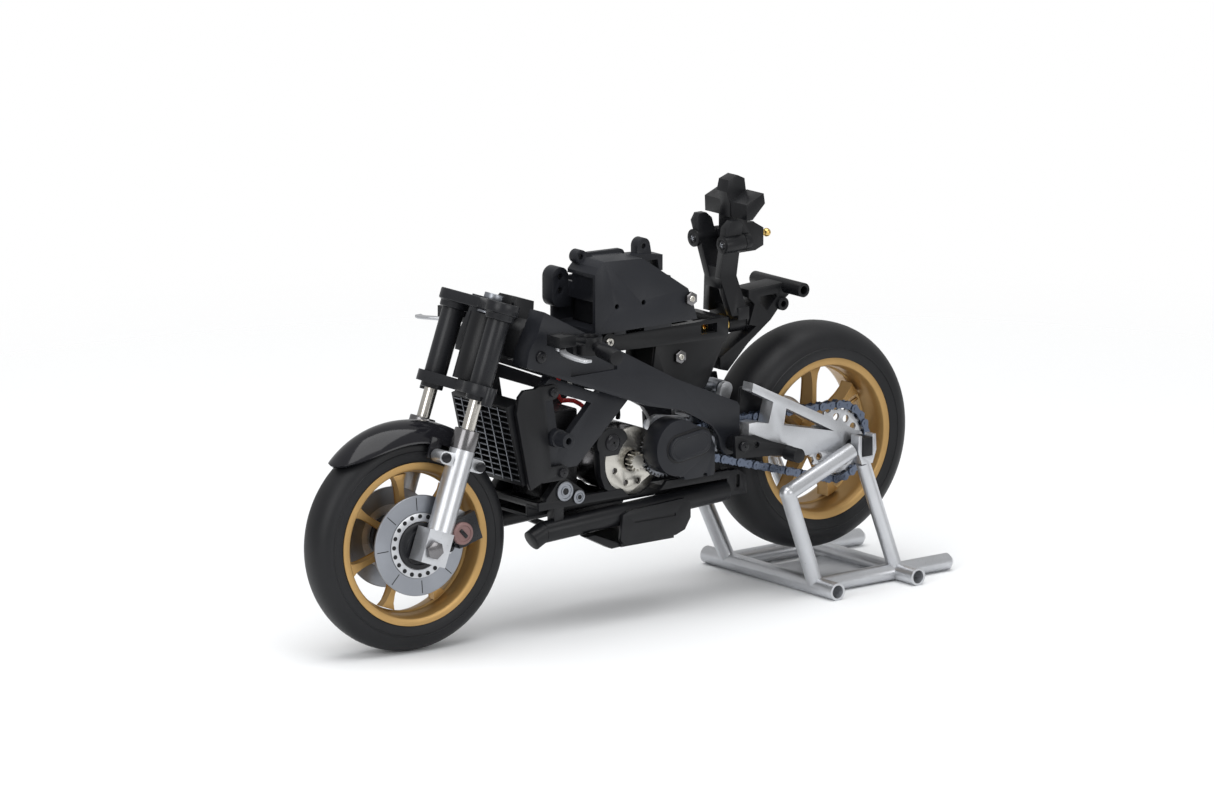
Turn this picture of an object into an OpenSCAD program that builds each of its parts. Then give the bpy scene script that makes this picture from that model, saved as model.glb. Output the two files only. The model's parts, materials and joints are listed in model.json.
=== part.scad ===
/* [Wheels] */
// Distance between the axles
wheelbase = 175; // [170:1:190]
// Diameter of the front tyre
front_tyre_d = 75; // [68:1:77]
// Width of the front tyre
front_tyre_w = 15.2; // [12:0.2:16.4]
// Diameter of the rear tyre
rear_tyre_d = 80; // [70:1:84]
// Width of the rear tyre
rear_tyre_w = 22; // [18:0.5:23]
// Outer radius of the front rim
front_rim_r = 28; // [24:0.5:29]
// Outer radius of the rear rim
rear_rim_r = 28.5; // [24:0.5:30]
// Spokes in each rim
spokes = 7; // [5:1:9]
// Height of the rear axle on the stand
rear_axle_z = 50.75; // [46:0.25:56]
// Radius of the wheel axles
axle_r = 2; // [1.5:0.1:2.4]

/* [Brakes and sprocket] */
// Outer radius of the front discs
disc_r = 17.3; // [14:0.1:18]
// Thickness of a brake disc
disc_t = 1; // [0.8:0.1:1.2]
// Outer radius of the rear disc
rear_disc_r = 11; // [9:0.5:12]
// Pitch of the drive chain
chain_pitch = 3.75; // [3.2:0.05:4]
// Teeth of the rear sprocket
rear_teeth = 22; // [18:1:24]
// Teeth of the front sprocket
front_teeth = 9; // [8:1:10]
// Sideways place of the chain line
chain_y = 15.4; // [15.2:0.1:15.6]

/* [Fork and steering] */
// Rake of the steering axis in degrees
rake = 20; // [17:0.5:22]
// Steering angle at rest in degrees
steer_rest = -7.13; // [-12:0.5:12]
// Half the distance between the fork legs
fork_half = 15; // [14.6:0.1:16]
// Fork leg ahead of the steering axis
fork_lead = 5; // [4:0.5:7]
// Fork leg behind the axle
axle_lead = 3.2; // [2:0.1:3.6]
// Radius of a fork slider
slider_r = 4.4; // [4:0.1:4.5]
// Radius of an upper fork sleeve
sleeve_r = 3.9; // [3.4:0.1:4.2]
// Radius of a bright inner tube
tube_r = 2.3; // [1.9:0.1:2.5]
// Height of the slider top above the axle, along the fork
slider_top = 35.1; // [33:0.1:37]
// Height of the lower clamp above the axle, along the fork
clamp_low = 53.9; // [52.5:0.1:56]
// Distance between the two clamps' lower faces
clamp_gap = 28.8; // [26:0.1:31]
// Thickness of a clamp
clamp_t = 3.8; // [3:0.1:4.2]
// Travel of the fork
fork_travel = 6; // [3:0.5:8]

/* [Chassis] */
// Half the width over the frame plates
frame_half = 20; // [20:0.1:21.5]
// Thickness of a frame plate at the pivot
frame_t = 2.4; // [2:0.1:2.4]
// Half the width of the radiator
radiator_half = 15.5; // [13:0.5:15.8]
// Radius of the motor can
motor_r = 11.8; // [9:0.2:11.8]
// Module of the gears
gear_module = 0.5; // [0.4:0.02:0.52]
// Teeth of the motor pinion
pinion_teeth = 12; // [10:1:14]
// Teeth of the spur gear
spur_teeth = 36; // [30:1:38]
// Half the width of the servo box
box_half = 12.5; // [10:0.5:13.5]
// Radius of the belly pipes
belly_r = 3.75; // [3:0.05:3.8]

/* [Rider mount] */
// Height of the swing axis of the rider mount
rider_z = 95; // [94:0.5:97]
// Height of the nod axis above the swing axis
nod_height = 29.6; // [27:0.1:36]
// Half the width over the two arms
arm_half = 9.5; // [9:0.1:10]

/* [Stand] */
// Radius of the stand tubes
stand_r = 3.1; // [2.4:0.1:3.4]
// Half the width between the long tubes
stand_half = 24.1; // [23.5:0.1:28]
// Half the length of the cross tubes
stand_tube_half = 36.2; // [34:0.1:44]
// Distance between the two cross tubes
stand_base = 36.2; // [30:0.2:42]

/* [Hidden] */
$fn = 48;
fit = 0.05;
gap = 0.3;
front_r = front_tyre_d / 2;
rear_r = rear_tyre_d / 2;
front_x = -wheelbase / 2;
rear_x = wheelbase / 2;
stem_x = axle_lead + fork_lead;
stem_r = 2.5;
clamp_top = clamp_low + clamp_gap;
tube_foot = 6.5 + fork_travel;
stand_front_x = rear_x - 15.5;
stand_rear_x = stand_front_x + stand_base;
stand_tail = 24.6;
// The origin lies under the middle of the whole length
steered_reach = (front_r + stem_x * cos(rake)) * (1 - cos(steer_rest)) * 0.9;
nose_x = front_x - front_r + steered_reach;
tail_x = stand_rear_x + stand_tail;
mid_x = (nose_x + tail_x) / 2;
disc_y = 9.1;
hub_half = 9.05;
collar_l = 7;
axle_half = 21.2;

// Gear line: motor shaft, counter shaft and output shaft
gear_tilt = 11;
motor_x = 2.8;
motor_z = 54.6;
pinion_r = gear_module * pinion_teeth / 2;
spur_r = gear_module * spur_teeth / 2;
counter_r = 4.8;
output_r = 9.3;
mesh = pinion_r + spur_r + 0.12;
reach = mesh + counter_r + output_r + 0.12;
counter_x = motor_x + mesh * cos(gear_tilt);
counter_z = motor_z + mesh * sin(gear_tilt);
output_x = motor_x + reach * cos(gear_tilt);
output_z = motor_z + reach * sin(gear_tilt);
front_sprocket_r = chain_pitch / (2 * sin(180 / front_teeth));
rear_sprocket_r = chain_pitch / (2 * sin(180 / rear_teeth));
shaft_r = 2;

// Rider mount
nod_x = 43.8;
nod_z = rider_z + nod_height;
hook_x = rear_x + 2.8;
hook_z = rear_axle_z + 0.25;
arm_out = 23.5;
arm_in = 17.5;

// ---- shared shapes ----
module place() translate([-mid_x, 0, 0]) children();
module fork_frame() translate([front_x, 0, front_r]) rotate([0, rake, 0]) children();
module steered() place() fork_frame() translate([stem_x, 0, 0]) rotate([0, 0, steer_rest])
  translate([-stem_x, 0, 0]) children();
module both() { children(); mirror([0, 1, 0]) children(); }
module rod_y(r, y0, y1, sides = 48) translate([0, y1, 0]) rotate([90, 0, 0])
  cylinder(h = y1 - y0, r = r, $fn = sides);
module rod_x(r, x0, x1) translate([x0, 0, 0]) rotate([0, 90, 0]) cylinder(h = x1 - x0, r = r);
// Plate drawn in X and Z, from y0 to y1
module plate(y0, y1) translate([0, y1, 0]) rotate([90, 0, 0]) linear_extrude(y1 - y0) children();
// Section drawn in Y and Z, from x0 to x1
module bar(x0, x1) translate([x0, 0, 0]) rotate([90, 0, 90]) linear_extrude(x1 - x0) children();
module block(a, b) translate(a) cube(b - a);
module dot(x, z, r) translate([x, z]) circle(r);
// Flat link with round ends of two radii
module link(x1, z1, r1, x2, z2, r2) {
  d = sqrt(pow(x2 - x1, 2) + pow(z2 - z1, 2));
  a = atan2(z2 - z1, x2 - x1);
  b = acos((r1 - r2) / d);
  dot(x1, z1, r1);
  dot(x2, z2, r2);
  polygon([
    [x1 + r1 * cos(a + b), z1 + r1 * sin(a + b)], [x1 + r1 * cos(a - b), z1 + r1 * sin(a - b)],
    [x2 + r2 * cos(a - b), z2 + r2 * sin(a - b)], [x2 + r2 * cos(a + b), z2 + r2 * sin(a + b)]]);
}
// Straight tube between two points
module tube(p, q, r) {
  d = q - p;
  l = norm(d);
  translate(p) rotate([0, acos(d[2] / l), atan2(d[1], d[0])]) cylinder(h = l, r = r);
}
module ring_y(r_out, r_in, y0, y1) difference() {
  rod_y(r_out, y0, y1);
  rod_y(r_in, y0 - 1, y1 + 1);
}

// ---- steering ----
module clamp_outline() {
  for (s = [-1, 1])
    link(axle_lead, s * fork_half, sleeve_r + 2, stem_x, 0, 5);
}
module upper_clamp() color("dimgray") difference() {
  union() {
    translate([0, 0, clamp_top]) linear_extrude(clamp_t) clamp_outline();
    for (s = [-1, 1]) translate([axle_lead, s * fork_half, clamp_top - 2.3])
      cylinder(h = 2.4, r = sleeve_r + 1.1);
  }
  for (s = [-1, 1]) translate([axle_lead, s * fork_half, clamp_top - 5])
    cylinder(h = clamp_t + 3.8, r = sleeve_r + fit);
  translate([stem_x, 0, clamp_top - 1]) cylinder(h = clamp_t + 2, r = stem_r + fit);
}
module lower_clamp() color("dimgray") difference() {
  union() {
    translate([0, 0, clamp_low]) linear_extrude(clamp_t) clamp_outline();
    for (s = [-1, 1]) translate([axle_lead + 1, s * (fork_half + sleeve_r + 1.4), clamp_low - 2.6])
      cylinder(h = clamp_t + 2.6, r = 2);
  }
  for (s = [-1, 1]) translate([axle_lead, s * fork_half, clamp_low - 5])
    cylinder(h = clamp_t + 10, r = sleeve_r + fit);
  translate([stem_x, 0, clamp_low - 1]) cylinder(h = clamp_t + 2, r = stem_r + fit);
}
module steering_stem() color("silver") translate([stem_x, 0, 0]) {
  translate([0, 0, clamp_low]) cylinder(h = clamp_gap + clamp_t + 0.2, r = stem_r);
  translate([0, 0, clamp_top + clamp_t + fit]) cylinder(h = 2.2, r = 3.4);
  translate([0, 0, clamp_top - 1.2]) cylinder(h = 1.15, r = 4.6);
}
module fork_sleeves() color("black") for (s = [-1, 1]) translate([axle_lead, s * fork_half, 0])
  difference() {
    translate([0, 0, clamp_low - 1.6]) cylinder(h = clamp_gap + 4.1, r = sleeve_r);
    translate([0, 0, clamp_low - 3]) cylinder(h = clamp_gap + 8, r = tube_r + fit);
  }
module inner_tubes() color("gainsboro") for (s = [-1, 1]) translate([axle_lead, s * fork_half, 0])
  translate([0, 0, tube_foot]) cylinder(h = clamp_top + 2.4 - tube_foot, r = tube_r);

// ---- fork lowers ----
ear_z = slider_top - 4.1;
ear_x = slider_r + 2.6;
module slider() color("silver") difference() {
  union() {
    translate([axle_lead, fork_half, -2.5]) cylinder(h = slider_top + 2.5, r = slider_r);
    block([-3.4, fork_half - 3.6, -5], [6.4, fork_half + slider_r + 0.1, 6.6]);
    plate(fork_half - 3.8, fork_half + 2.4) {
      link(axle_lead - ear_x, ear_z, 2.2, axle_lead, ear_z, 2.4);
      link(axle_lead, ear_z, 2.4, axle_lead + ear_x, ear_z, 2.2);
    }
    plate(fork_half - 3.6, fork_half - 1.8) polygon([[4, -2], [11, 0.2], [11.6, 3.6], [8.6, 5],
      [8.6, 9], [12, 11], [12, 15], [9, 15.6], [5, 13]]);
  }
  translate([axle_lead, fork_half, 3]) cylinder(h = slider_top, r = tube_r + fit);
  rod_y(axle_r + fit, 0, 30);
  for (s = [-1, 1]) translate([axle_lead + s * ear_x, 0, ear_z]) rod_y(0.95, 0, 30);
  translate([9.4, 0, 2.3]) rod_y(0.95, 0, 30);
}
module slider_right() slider();
module slider_left() mirror([0, 1, 0]) slider();
module slider_collars() color("dimgray") for (s = [-1, 1])
  translate([axle_lead, s * fork_half, slider_top]) difference() {
    cylinder(h = collar_l, r = slider_r + 0.1);
    translate([0, 0, -1]) cylinder(h = collar_l + 2, r = tube_r + gap);
  }
module fork_springs() color("gray") for (s = [-1, 1])
  translate([axle_lead, s * fork_half, 3.05]) difference() {
    cylinder(h = tube_foot - 3.1, r = tube_r - fit);
    translate([0, 0, -1]) cylinder(h = tube_foot, r = tube_r - 0.9);
  }
fender_r = front_r + 3;
module fender_section() intersection() {
  difference() {
    translate([fender_r - 9.5, 0]) circle(10.6);
    translate([fender_r - 9.5, 0]) circle(9.5);
  }
  translate([fender_r - 6, -12]) square([12, 24]);
}
module front_fender() color("black") difference() {
  union() {
    rotate([90, 0, 0]) rotate([0, 0, 80]) rotate_extrude(angle = 71, $fn = 96) fender_section();
    for (s = [-1, 1]) plate(min(s * 9.3, s * 10.3), max(s * 9.3, s * 10.3)) {
      link(axle_lead - ear_x, ear_z, 2.2, axle_lead - ear_x - 1, ear_z + 4.5, 2.2);
      link(axle_lead - ear_x - 1, ear_z + 4.5, 2.2, axle_lead + 1, ear_z + 5.5, 1.6);
    }
    for (s = [-1, 1]) translate([axle_lead - ear_x, 0, ear_z])
      rod_y(2.2, min(s * 10.3, s * (fork_half - 3.8)), max(s * 10.3, s * (fork_half - 3.8)));
  }
  translate([axle_lead - ear_x, 0, ear_z]) rod_y(0.95, -30, 30);
  rod_y(fender_r - 6.9, -30, 30);
}
module front_axle() color("gray") {
  rod_y(axle_r, -axle_half, axle_half);
  both() rod_y(3.2, slider_r + fork_half + 0.1, slider_r + fork_half + 1.9, 6);
}
module caliper() color("black") difference() {
  rotate([0, -36.7, 0]) union() {
    block([11, fork_half - 1.7, -5], [20.6, fork_half + 1.4, 5]);
    translate([13.2, 0, 0]) rod_y(5, fork_half - 1.7, fork_half + 2);
    block([disc_r + 0.6, disc_y - 1.2, -3.4], [20.6, fork_half - 1, 3.4]);
    block([12.2, disc_y - 1.3, -3.4], [20.6, disc_y - gap, 3.4]);
  }
  translate([axle_lead, fork_half, -5]) cylinder(h = 60, r = slider_r + fit);
  block([-6, 0, -8], [6.4 + fit, 30, 6.6 + fit]);
  translate([9.4, 0, 2.3]) rod_y(2.1, 0, 30);
}
module front_calipers() both() caliper();
module fork_screws() color("dimgray") both() {
  for (s = [-1, 1]) translate([axle_lead + s * ear_x, 0, ear_z]) {
    rod_y(0.9, fork_half - 3.8 + (s < 0 ? -1 : 0), fork_half + 2.5);
    rod_y(1.7, fork_half + 2.4, fork_half + 3.5);
  }
  translate([9.4, 0, 2.3]) {
    rod_y(0.9, fork_half - 3.6, fork_half - 1.7);
    rod_y(1.7, fork_half - 1.8, fork_half - 0.6);
  }
}

// ---- wheels, drawn round the Y axis ----
module tyre(r, w, rim) color("#2b2b2e") rotate([90, 0, 0]) rotate_extrude($fn = 120) intersection() {
  translate([r - w * 0.56, 0]) circle(w * 0.56);
  translate([rim + fit, -w / 2]) square([40, w]);
}
module rim_shape(r, half, hub_r, hub_l, phase) color("goldenrod") difference() {
  union() {
    rotate([90, 0, 0]) rotate_extrude($fn = 96) polygon([[r - 3.4, -half + 2], [r - 2.4, -half],
      [r, -half], [r, half], [r - 2.4, half], [r - 3.4, half - 2], [r - 3.4, 1], [r - 4, 0],
      [r - 3.4, -1]]);
    rod_y(hub_r, -hub_l, hub_l);
    for (i = [0:spokes - 1]) rotate([0, -phase - i * 360 / spokes, 0])
      block([hub_r - 1, -half * 0.42, -1.9], [r - 3.2, half * 0.42, 1.9]);
  }
  rod_y(axle_r + fit, -30, 30);
  for (s = [-1, 1]) translate([0, s * hub_l, 0]) rod_y(3.6, -2.5, 2.5);
}
module front_tyre() tyre(front_r, front_tyre_w, front_rim_r);
module front_rim() {
  rim_shape(front_rim_r, front_tyre_w / 2 - 0.1, 7.5, disc_y - 1.5, 95.5 + rake);
  color("black") both() ring_y(10.4, 3.6, disc_y - 1.5, disc_y);
  color("silver") both() ring_y(3.4, axle_r + fit, disc_y - 3.8, fork_half - slider_r - gap);
}
module brake_disc(r, y, slots) color("silver") difference() {
  rod_y(r, y, y + disc_t);
  rod_y(8.1, 0, 30);
  for (i = [0:slots - 1]) rotate([0, i * 360 / slots, 0])
    block([r - 5.4, 0, -0.3], [r - 1, 30, 0.3]);
}
module front_discs() both() brake_disc(disc_r, disc_y, 8);
module rear_tyre() tyre(rear_r, rear_tyre_w, rear_rim_r);
module rear_rim() {
  rim_shape(rear_rim_r, 10.5, 7.5, 11.2, 87.5);
  color("silver") both() ring_y(3.4, axle_r + fit, 8, chain_y + 1.7);
}
module rear_sprocket() color("silver") {
  difference() {
    sprocket(rear_sprocket_r, rear_teeth, -chain_y - 0.5, -chain_y + 0.5);
    rod_y(3.5, -30, 30);
    for (i = [0:11]) rotate([0, i * 30, 0]) translate([8.7, 0, 0]) rod_y(1.3, -30, 30, 24);
  }
  ring_y(6.2, 3.5, -chain_y + 0.5, -11.2);
  ring_y(6.2, 3.5, 11.2, chain_y - 1);
  difference() {
    rod_y(rear_disc_r, chain_y - 1, chain_y - 1 + disc_t);
    rod_y(3.5, 0, 30);
    for (i = [0:7]) rotate([0, i * 45, 0]) translate([8.4, 0, 0]) rod_y(0.9, 0, 30, 24);
  }
}
module at_rear_axle() place() translate([rear_x, 0, rear_axle_z]) children();
module rear_axle() color("gray") rod_y(axle_r, -arm_out + 0.4, arm_out - 0.4);
module stand_spools() color("#2b2c30") both()
  block([hook_x - 2.1, arm_out, hook_z - 3.2], [hook_x + 2.1, arm_out + 6.5, hook_z + 3.2]);

// ---- chassis ----
module frame_side() color("#3c3d42") difference() {
  union() {
    plate(frame_half - 4, frame_half) polygon([[-43.6, 114.3], [12.7, 84], [12.7, 73],
      [0.7, 75.9], [-38.3, 90.9], [-51.3, 96], [-50.2, 101.5], [-46.4, 107.3]]);
    plate(frame_half - frame_t, frame_half) polygon([[12.6, 84], [40.2, 72], [41.2, 70.5],
      [41.2, 57], [39.5, 54], [35.5, 53.9], [33, 56.5], [31.8, 61], [29, 65], [24, 67.9],
      [17, 71.7], [12.6, 73.2]]);
    plate(12, frame_half - 3.9) polygon([[-43.6, 114.3], [-36, 110.2], [-36, 91],
      [-51.3, 96], [-50.2, 101.5], [-46.4, 107.3]]);
  }
  block([-32.3, frame_half - 1.4, 90.4], [-12.3, 40, 95.9]);
}
module frame_right() frame_side();
module frame_left() mirror([0, 1, 0]) frame_side();
module head_block() color("#2c2d31") difference() {
  union() {
    fork_frame() translate([stem_x, 0, clamp_low + clamp_t + gap])
      cylinder(h = clamp_gap - clamp_t - gap - 1.5, r = 6.4);
    plate(-11.9, 11.9) polygon([[-49.5, 97.5], [-40, 93.5], [-36.1, 92], [-36.1, 107],
      [-43, 110], [-48, 107]]);
    plate(-5, 5) polygon([[-55, 97], [-46, 96], [-37, 107], [-36.5, 114.8], [-43.5, 117],
      [-45.2, 115.4], [-44.6, 112], [-48, 109]]);
  }
  fork_frame() translate([stem_x, 0, clamp_low]) cylinder(h = clamp_gap + 5, r = stem_r + fit);
  fork_frame() translate([stem_x, 0, clamp_top - 1.5]) cylinder(h = clamp_gap, r = 6.4);
}
module side_brace() color("#3c3d42") difference() {
  plate(frame_half - 7, frame_half - 4) {
    polygon([[-16, 83.5], [-4, 78.5], [-26.5, 58], [-35, 58], [-37, 62.5]]);
    link(-40, 84.5, 2.6, -35.5, 58.5, 2.6);
    polygon([[-42, 87], [-12, 76], [-12, 80], [-38, 90.4]]);
  }
  translate([-36.3, 0, 69.3]) rod_y(1.2, 0, 30);
}
module side_braces() both() {
  side_brace();
  color("#3c3d42") translate([-36.3, 0, 69.3]) {
    ring_y(3.2, 1.2, frame_half - 4, frame_half - 1);
    ring_y(2.6, 1.2, frame_half - 1.1, frame_half + 4);
  }
}
module radiator() color("#26272a") {
  front = [[-56.3, 82.3], [-49.5, 54]];
  bar_n = 13;
  difference() {
    plate(-radiator_half, radiator_half) polygon([front[0], front[1], [-43.5, 55.5], [-50.3, 83.8]]);
    plate(-radiator_half + 1.2, radiator_half - 1.2) polygon([[-57.5, 81], [-51, 55.2],
      [-48.3, 55.8], [-54.8, 81.6]]);
  }
  for (i = [0:bar_n - 1]) {
    t = (i + 0.8) / (bar_n + 0.6);
    x = front[0][0] + (front[1][0] - front[0][0]) * t;
    z = front[0][1] + (front[1][1] - front[0][1]) * t;
    translate([x + 0.1, -radiator_half + 1, z - 0.35]) cube([1.6, 2 * radiator_half - 2, 0.7]);
  }
  for (s = [-2:2]) plate(s * 5 - 0.4, s * 5 + 0.4) polygon([[-56.3, 81.6], [-49.9, 55],
    [-48.4, 55.4], [-54.8, 82]]);
}
module radiator_shrouds() both() color("#333438") difference() {
  plate(frame_half - 4, frame_half - 2.4) {
    polygon([[-53.6, 80], [-52.6, 85.5], [-50.5, 87.6], [-42, 87.6], [-38.6, 56.5], [-47.5, 52.6],
      [-48.4, 55]]);
    link(-44, 85.5, 2.6, -38, 85.5, 2.6);
    link(-42, 57, 2.6, -34, 57, 2.6);
  }
  for (p = [[-38, 85.5], [-34, 57]]) translate([p[0], 0, p[1]]) rod_y(0.95, 0, 30);
}
module at_motor() translate([motor_x, 0, motor_z]) children();
module at_counter() translate([counter_x, 0, counter_z]) children();
module at_output() translate([output_x, 0, output_z]) children();
case_rim = frame_half - 4.1;
module case_section() {
  polygon([[-9.8, 41.3], [9.8, 41.3], [9.8, 44.4], [case_rim, 44.4], [case_rim, 47.2],
    [case_rim - 1.4, 47.2], [case_rim - 1.4, 45.7], [8.6, 45.7], [8.6, 42.3], [-8.6, 42.3],
    [-8.6, 45.7], [-case_rim + 1.4, 45.7], [-case_rim + 1.4, 47.2], [-case_rim, 47.2],
    [-case_rim, 44.4], [-9.8, 44.4]]);
}
lug_y = case_rim - 0.2;
module lower_case() color("#2f3034") difference() {
  union() {
    bar(-43, 40) case_section();
    both() {
      plate(12.4, lug_y) {
        link(-32, 50, 4.2, -37.5, 47, 2.2);
        link(-26, 47.2, 3, -32, 50, 4.2);
        link(-13, 64, 4.6, -9, 64, 4.6);
        link(-15.6, 61, 1.1, -15, 53, 1.1);
        link(-15, 53, 1.1, -13.4, 49, 1.1);
        link(-13.4, 49, 1.1, -9.5, 46.4, 1.1);
      }
      plate(12.4, lug_y) difference() {
        polygon([[39, 44.9], [39, 46.9], [44, 46.9], [47.5, 44.5], [48, 38], [40.5, 38.2]]);
        link(44, 41.2, 0.8, 44, 44.6, 0.8);
      }
      plate(9.3, 11.7) link(34.5, 49.2, 4, 37.5, 46.4, 2.2);
      block([-36, belly_y - 2.2, 38], [-32, lug_y - 0.2, 45]);
    }
    for (x = [-42.7, 37.7]) block([x, -lug_y + 0.3, 44.8], [x + 2, lug_y - 0.3, 46.8]);
  }
  at_motor() rod_y(motor_r + 0.35, -20, 17);
  both() translate([0, belly_y, belly_z0]) rotate([0, -belly_rise, 0]) rod_x(belly_r + 0.02, -45, -25);
}
belly_z0 = 38.1;
belly_rise = 2.6;
belly_y = 13.8;
module belly_pipes() color("#2a2b2e") both() translate([0, belly_y, belly_z0]) rotate([0, -belly_rise, 0]) {
  rod_x(belly_r, -40, 39.5);
  translate([-40, 0, 0]) rotate([0, -24, 0]) rod_x(belly_r - 0.2, -5, 1);
}
module skid_bracket() color("#333438") {
  both() difference() {
    plate(belly_y + belly_r + 0.1, belly_y + belly_r + 1.5) polygon([[-10, 30], [-9, 38.8], [-6, 40],
      [18, 41], [20.5, 39], [20.5, 34], [18, 30], [14, 28.6], [-8, 28]]);
    block([-4, belly_y + belly_r + 1, 35.4], [14, 40, 36.4]);
  }
  block([-9.5, -belly_y - belly_r - 1, 27.6], [13.5, belly_y + belly_r + 1, 28.8]);
  both() plate(belly_y + belly_r - 3.5, belly_y + belly_r + 0.2) polygon([[-24, 32.9], [-20, 33.1],
    [-10, 29], [-9, 27.6], [-13, 27.4]]);
}
module battery() color("#1e3a5f") block([-36, -8, 46], [-20, 8, 76]);
module cover_outline(grow) {
  dot(14.2, 59.4, 9.8 + grow);
  polygon([[11.5, 50.8 - grow], [17, 47.9 - grow], [29, 47.9 - grow], [29.7 + grow, 48.9 - grow],
    [29.7 + grow, 58], [26.8 + grow, 64.3 + grow], [17, 68.4 + grow], [14.2, 60]]);
}
cover_y = frame_half + 0.8;
module gear_cover() color("#3c3d42") difference() {
  union() {
    plate(-cover_y, -12.6) cover_outline(0);
    plate(-cover_y - 0.9, -cover_y + 0.5) link(13.2, 59.2, 4, 23.6, 60.6, 4);
  }
  difference() {
    plate(-cover_y + 1.2, -12) cover_outline(-1.1);
    at_output() rod_y(3.4, -cover_y, -chain_y - 2.2);
    at_counter() rod_y(2.6, -cover_y, -13.9);
  }
  block([20.6, -chain_y - 2.1, 40], [40, 0, 80]);
  at_output() rod_y(shaft_r + fit, -cover_y + 1, 0);
  at_counter() rod_y(1 + fit, -cover_y + 1.5, 0);
  for (x = [15.5, 25.5]) translate([x, 0, 48.3]) rod_y(0.9, -30, -17);
}
module motor() color("lightgray") at_motor() difference() {
  union() {
    rod_y(motor_r, -7.9, 11);
    rod_y(motor_r - 1.5, 10.9, 13.5);
    rod_y(4, 13.4, 14.8);
  }
  rod_y(1.2, -20, 20);
}
module motor_plate() color("silver") difference() {
  plate(-9, -8) {
    dot(motor_x, motor_z, motor_r);
    link(motor_x, motor_z, 8, output_x, output_z, 5);
  }
  at_motor() rod_y(3.6, -20, 0);
  at_counter() rod_y(1 + fit, -20, 0);
  at_output() rod_y(shaft_r + fit, -20, 0);
  for (a = [200, 250, 290]) at_motor() rotate([0, -a, 0]) translate([8, 0, 0]) rod_y(1, -20, 0, 24);
}
// Spur gear: root and tip lie below and above the pitch radius
function gear_points(r, teeth, root, tip) = [for (i = [0:teeth - 1])
  for (p = [[-0.26, r - root], [-0.13, r + tip], [0.13, r + tip], [0.26, r - root]])
    let (a = (i + p[0]) * 360 / teeth) [p[1] * cos(a), p[1] * sin(a)]];
module gear(r, teeth, y0, y1, phase) plate(y0, y1) rotate(phase)
  polygon(gear_points(r, teeth, 0.6, 0.34));
// Sprocket that stays inside the chain's rollers
module sprocket(r, teeth, y0, y1) plate(y0, y1) polygon(gear_points(r, teeth, 1.9, -0.85));
module pinion() color("silver") at_motor() {
  gear(pinion_r, pinion_teeth, -12.2, -9.3, gear_tilt);
  rod_y(1.15, -12.25, 13);
}
module counter_gear() color("dimgray") at_counter() {
  gear(spur_r, spur_teeth, -11.8, -9.8, gear_tilt + 180 + 180 / spur_teeth);
  gear(counter_r, 16, -13.5, -11.7, gear_tilt);
  rod_y(1, -cover_y + 1.7, -8.1);
}
module output_shaft() color("dimgray") at_output() {
  rod_y(shaft_r, -cover_y + 1.2, frame_half - 5);
  gear(output_r, 31, -13.5, -12.1, gear_tilt + 180 + 180 / 31);
  sprocket(front_sprocket_r, front_teeth, -chain_y - 0.5, -chain_y + 0.5);
  rod_y(2.8, -chain_y - 1.6, -12.2);
}
rail_y = 9;
module subframe() color("#36373b") {
  both() difference() {
    union() {
      plate(rail_y - 2.4, rail_y) polygon([[-12, 93], [-6, 93.8], [36, 92.4], [45, 92.4], [45, 99.3],
        [-8, 99.3], [-13, 97]]);
      plate(rail_y - 2.4, rail_y - 1) polygon([[14, 93], [44, 93], [42.5, 88], [36, 76], [33, 74.5],
        [22, 74.5], [12, 80]]);
      plate(rail_y - 2.4, rail_y + 2.5) link(-9, 98, 3, -9, 98.1, 3);
    }
    block([33, 0, 94.6], [40, 30, 98]);
    translate([-9, 0, 98]) rod_y(1.6, 0, 30);
  }
  block([30, -rail_y + 1, 92.6], [32.5, rail_y - 1, 99]);
  difference() {
    block([41.5, -rail_y + 1, 90.5], [45, rail_y - 1, 99.3]);
    translate([0, 0, rider_z]) rod_x(2.05, 30, 50);
  }
  block([-13, -rail_y + 1, 93.5], [-11, rail_y - 1, 97]);
  both() block([20, rail_y - 2, 74.5], [26, frame_half - frame_t, 76.5]);
  translate(shock_front) rod_y(1.15, -rail_y + 1.5, rail_y - 1.5);
}
box_z = 101.4;
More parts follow.
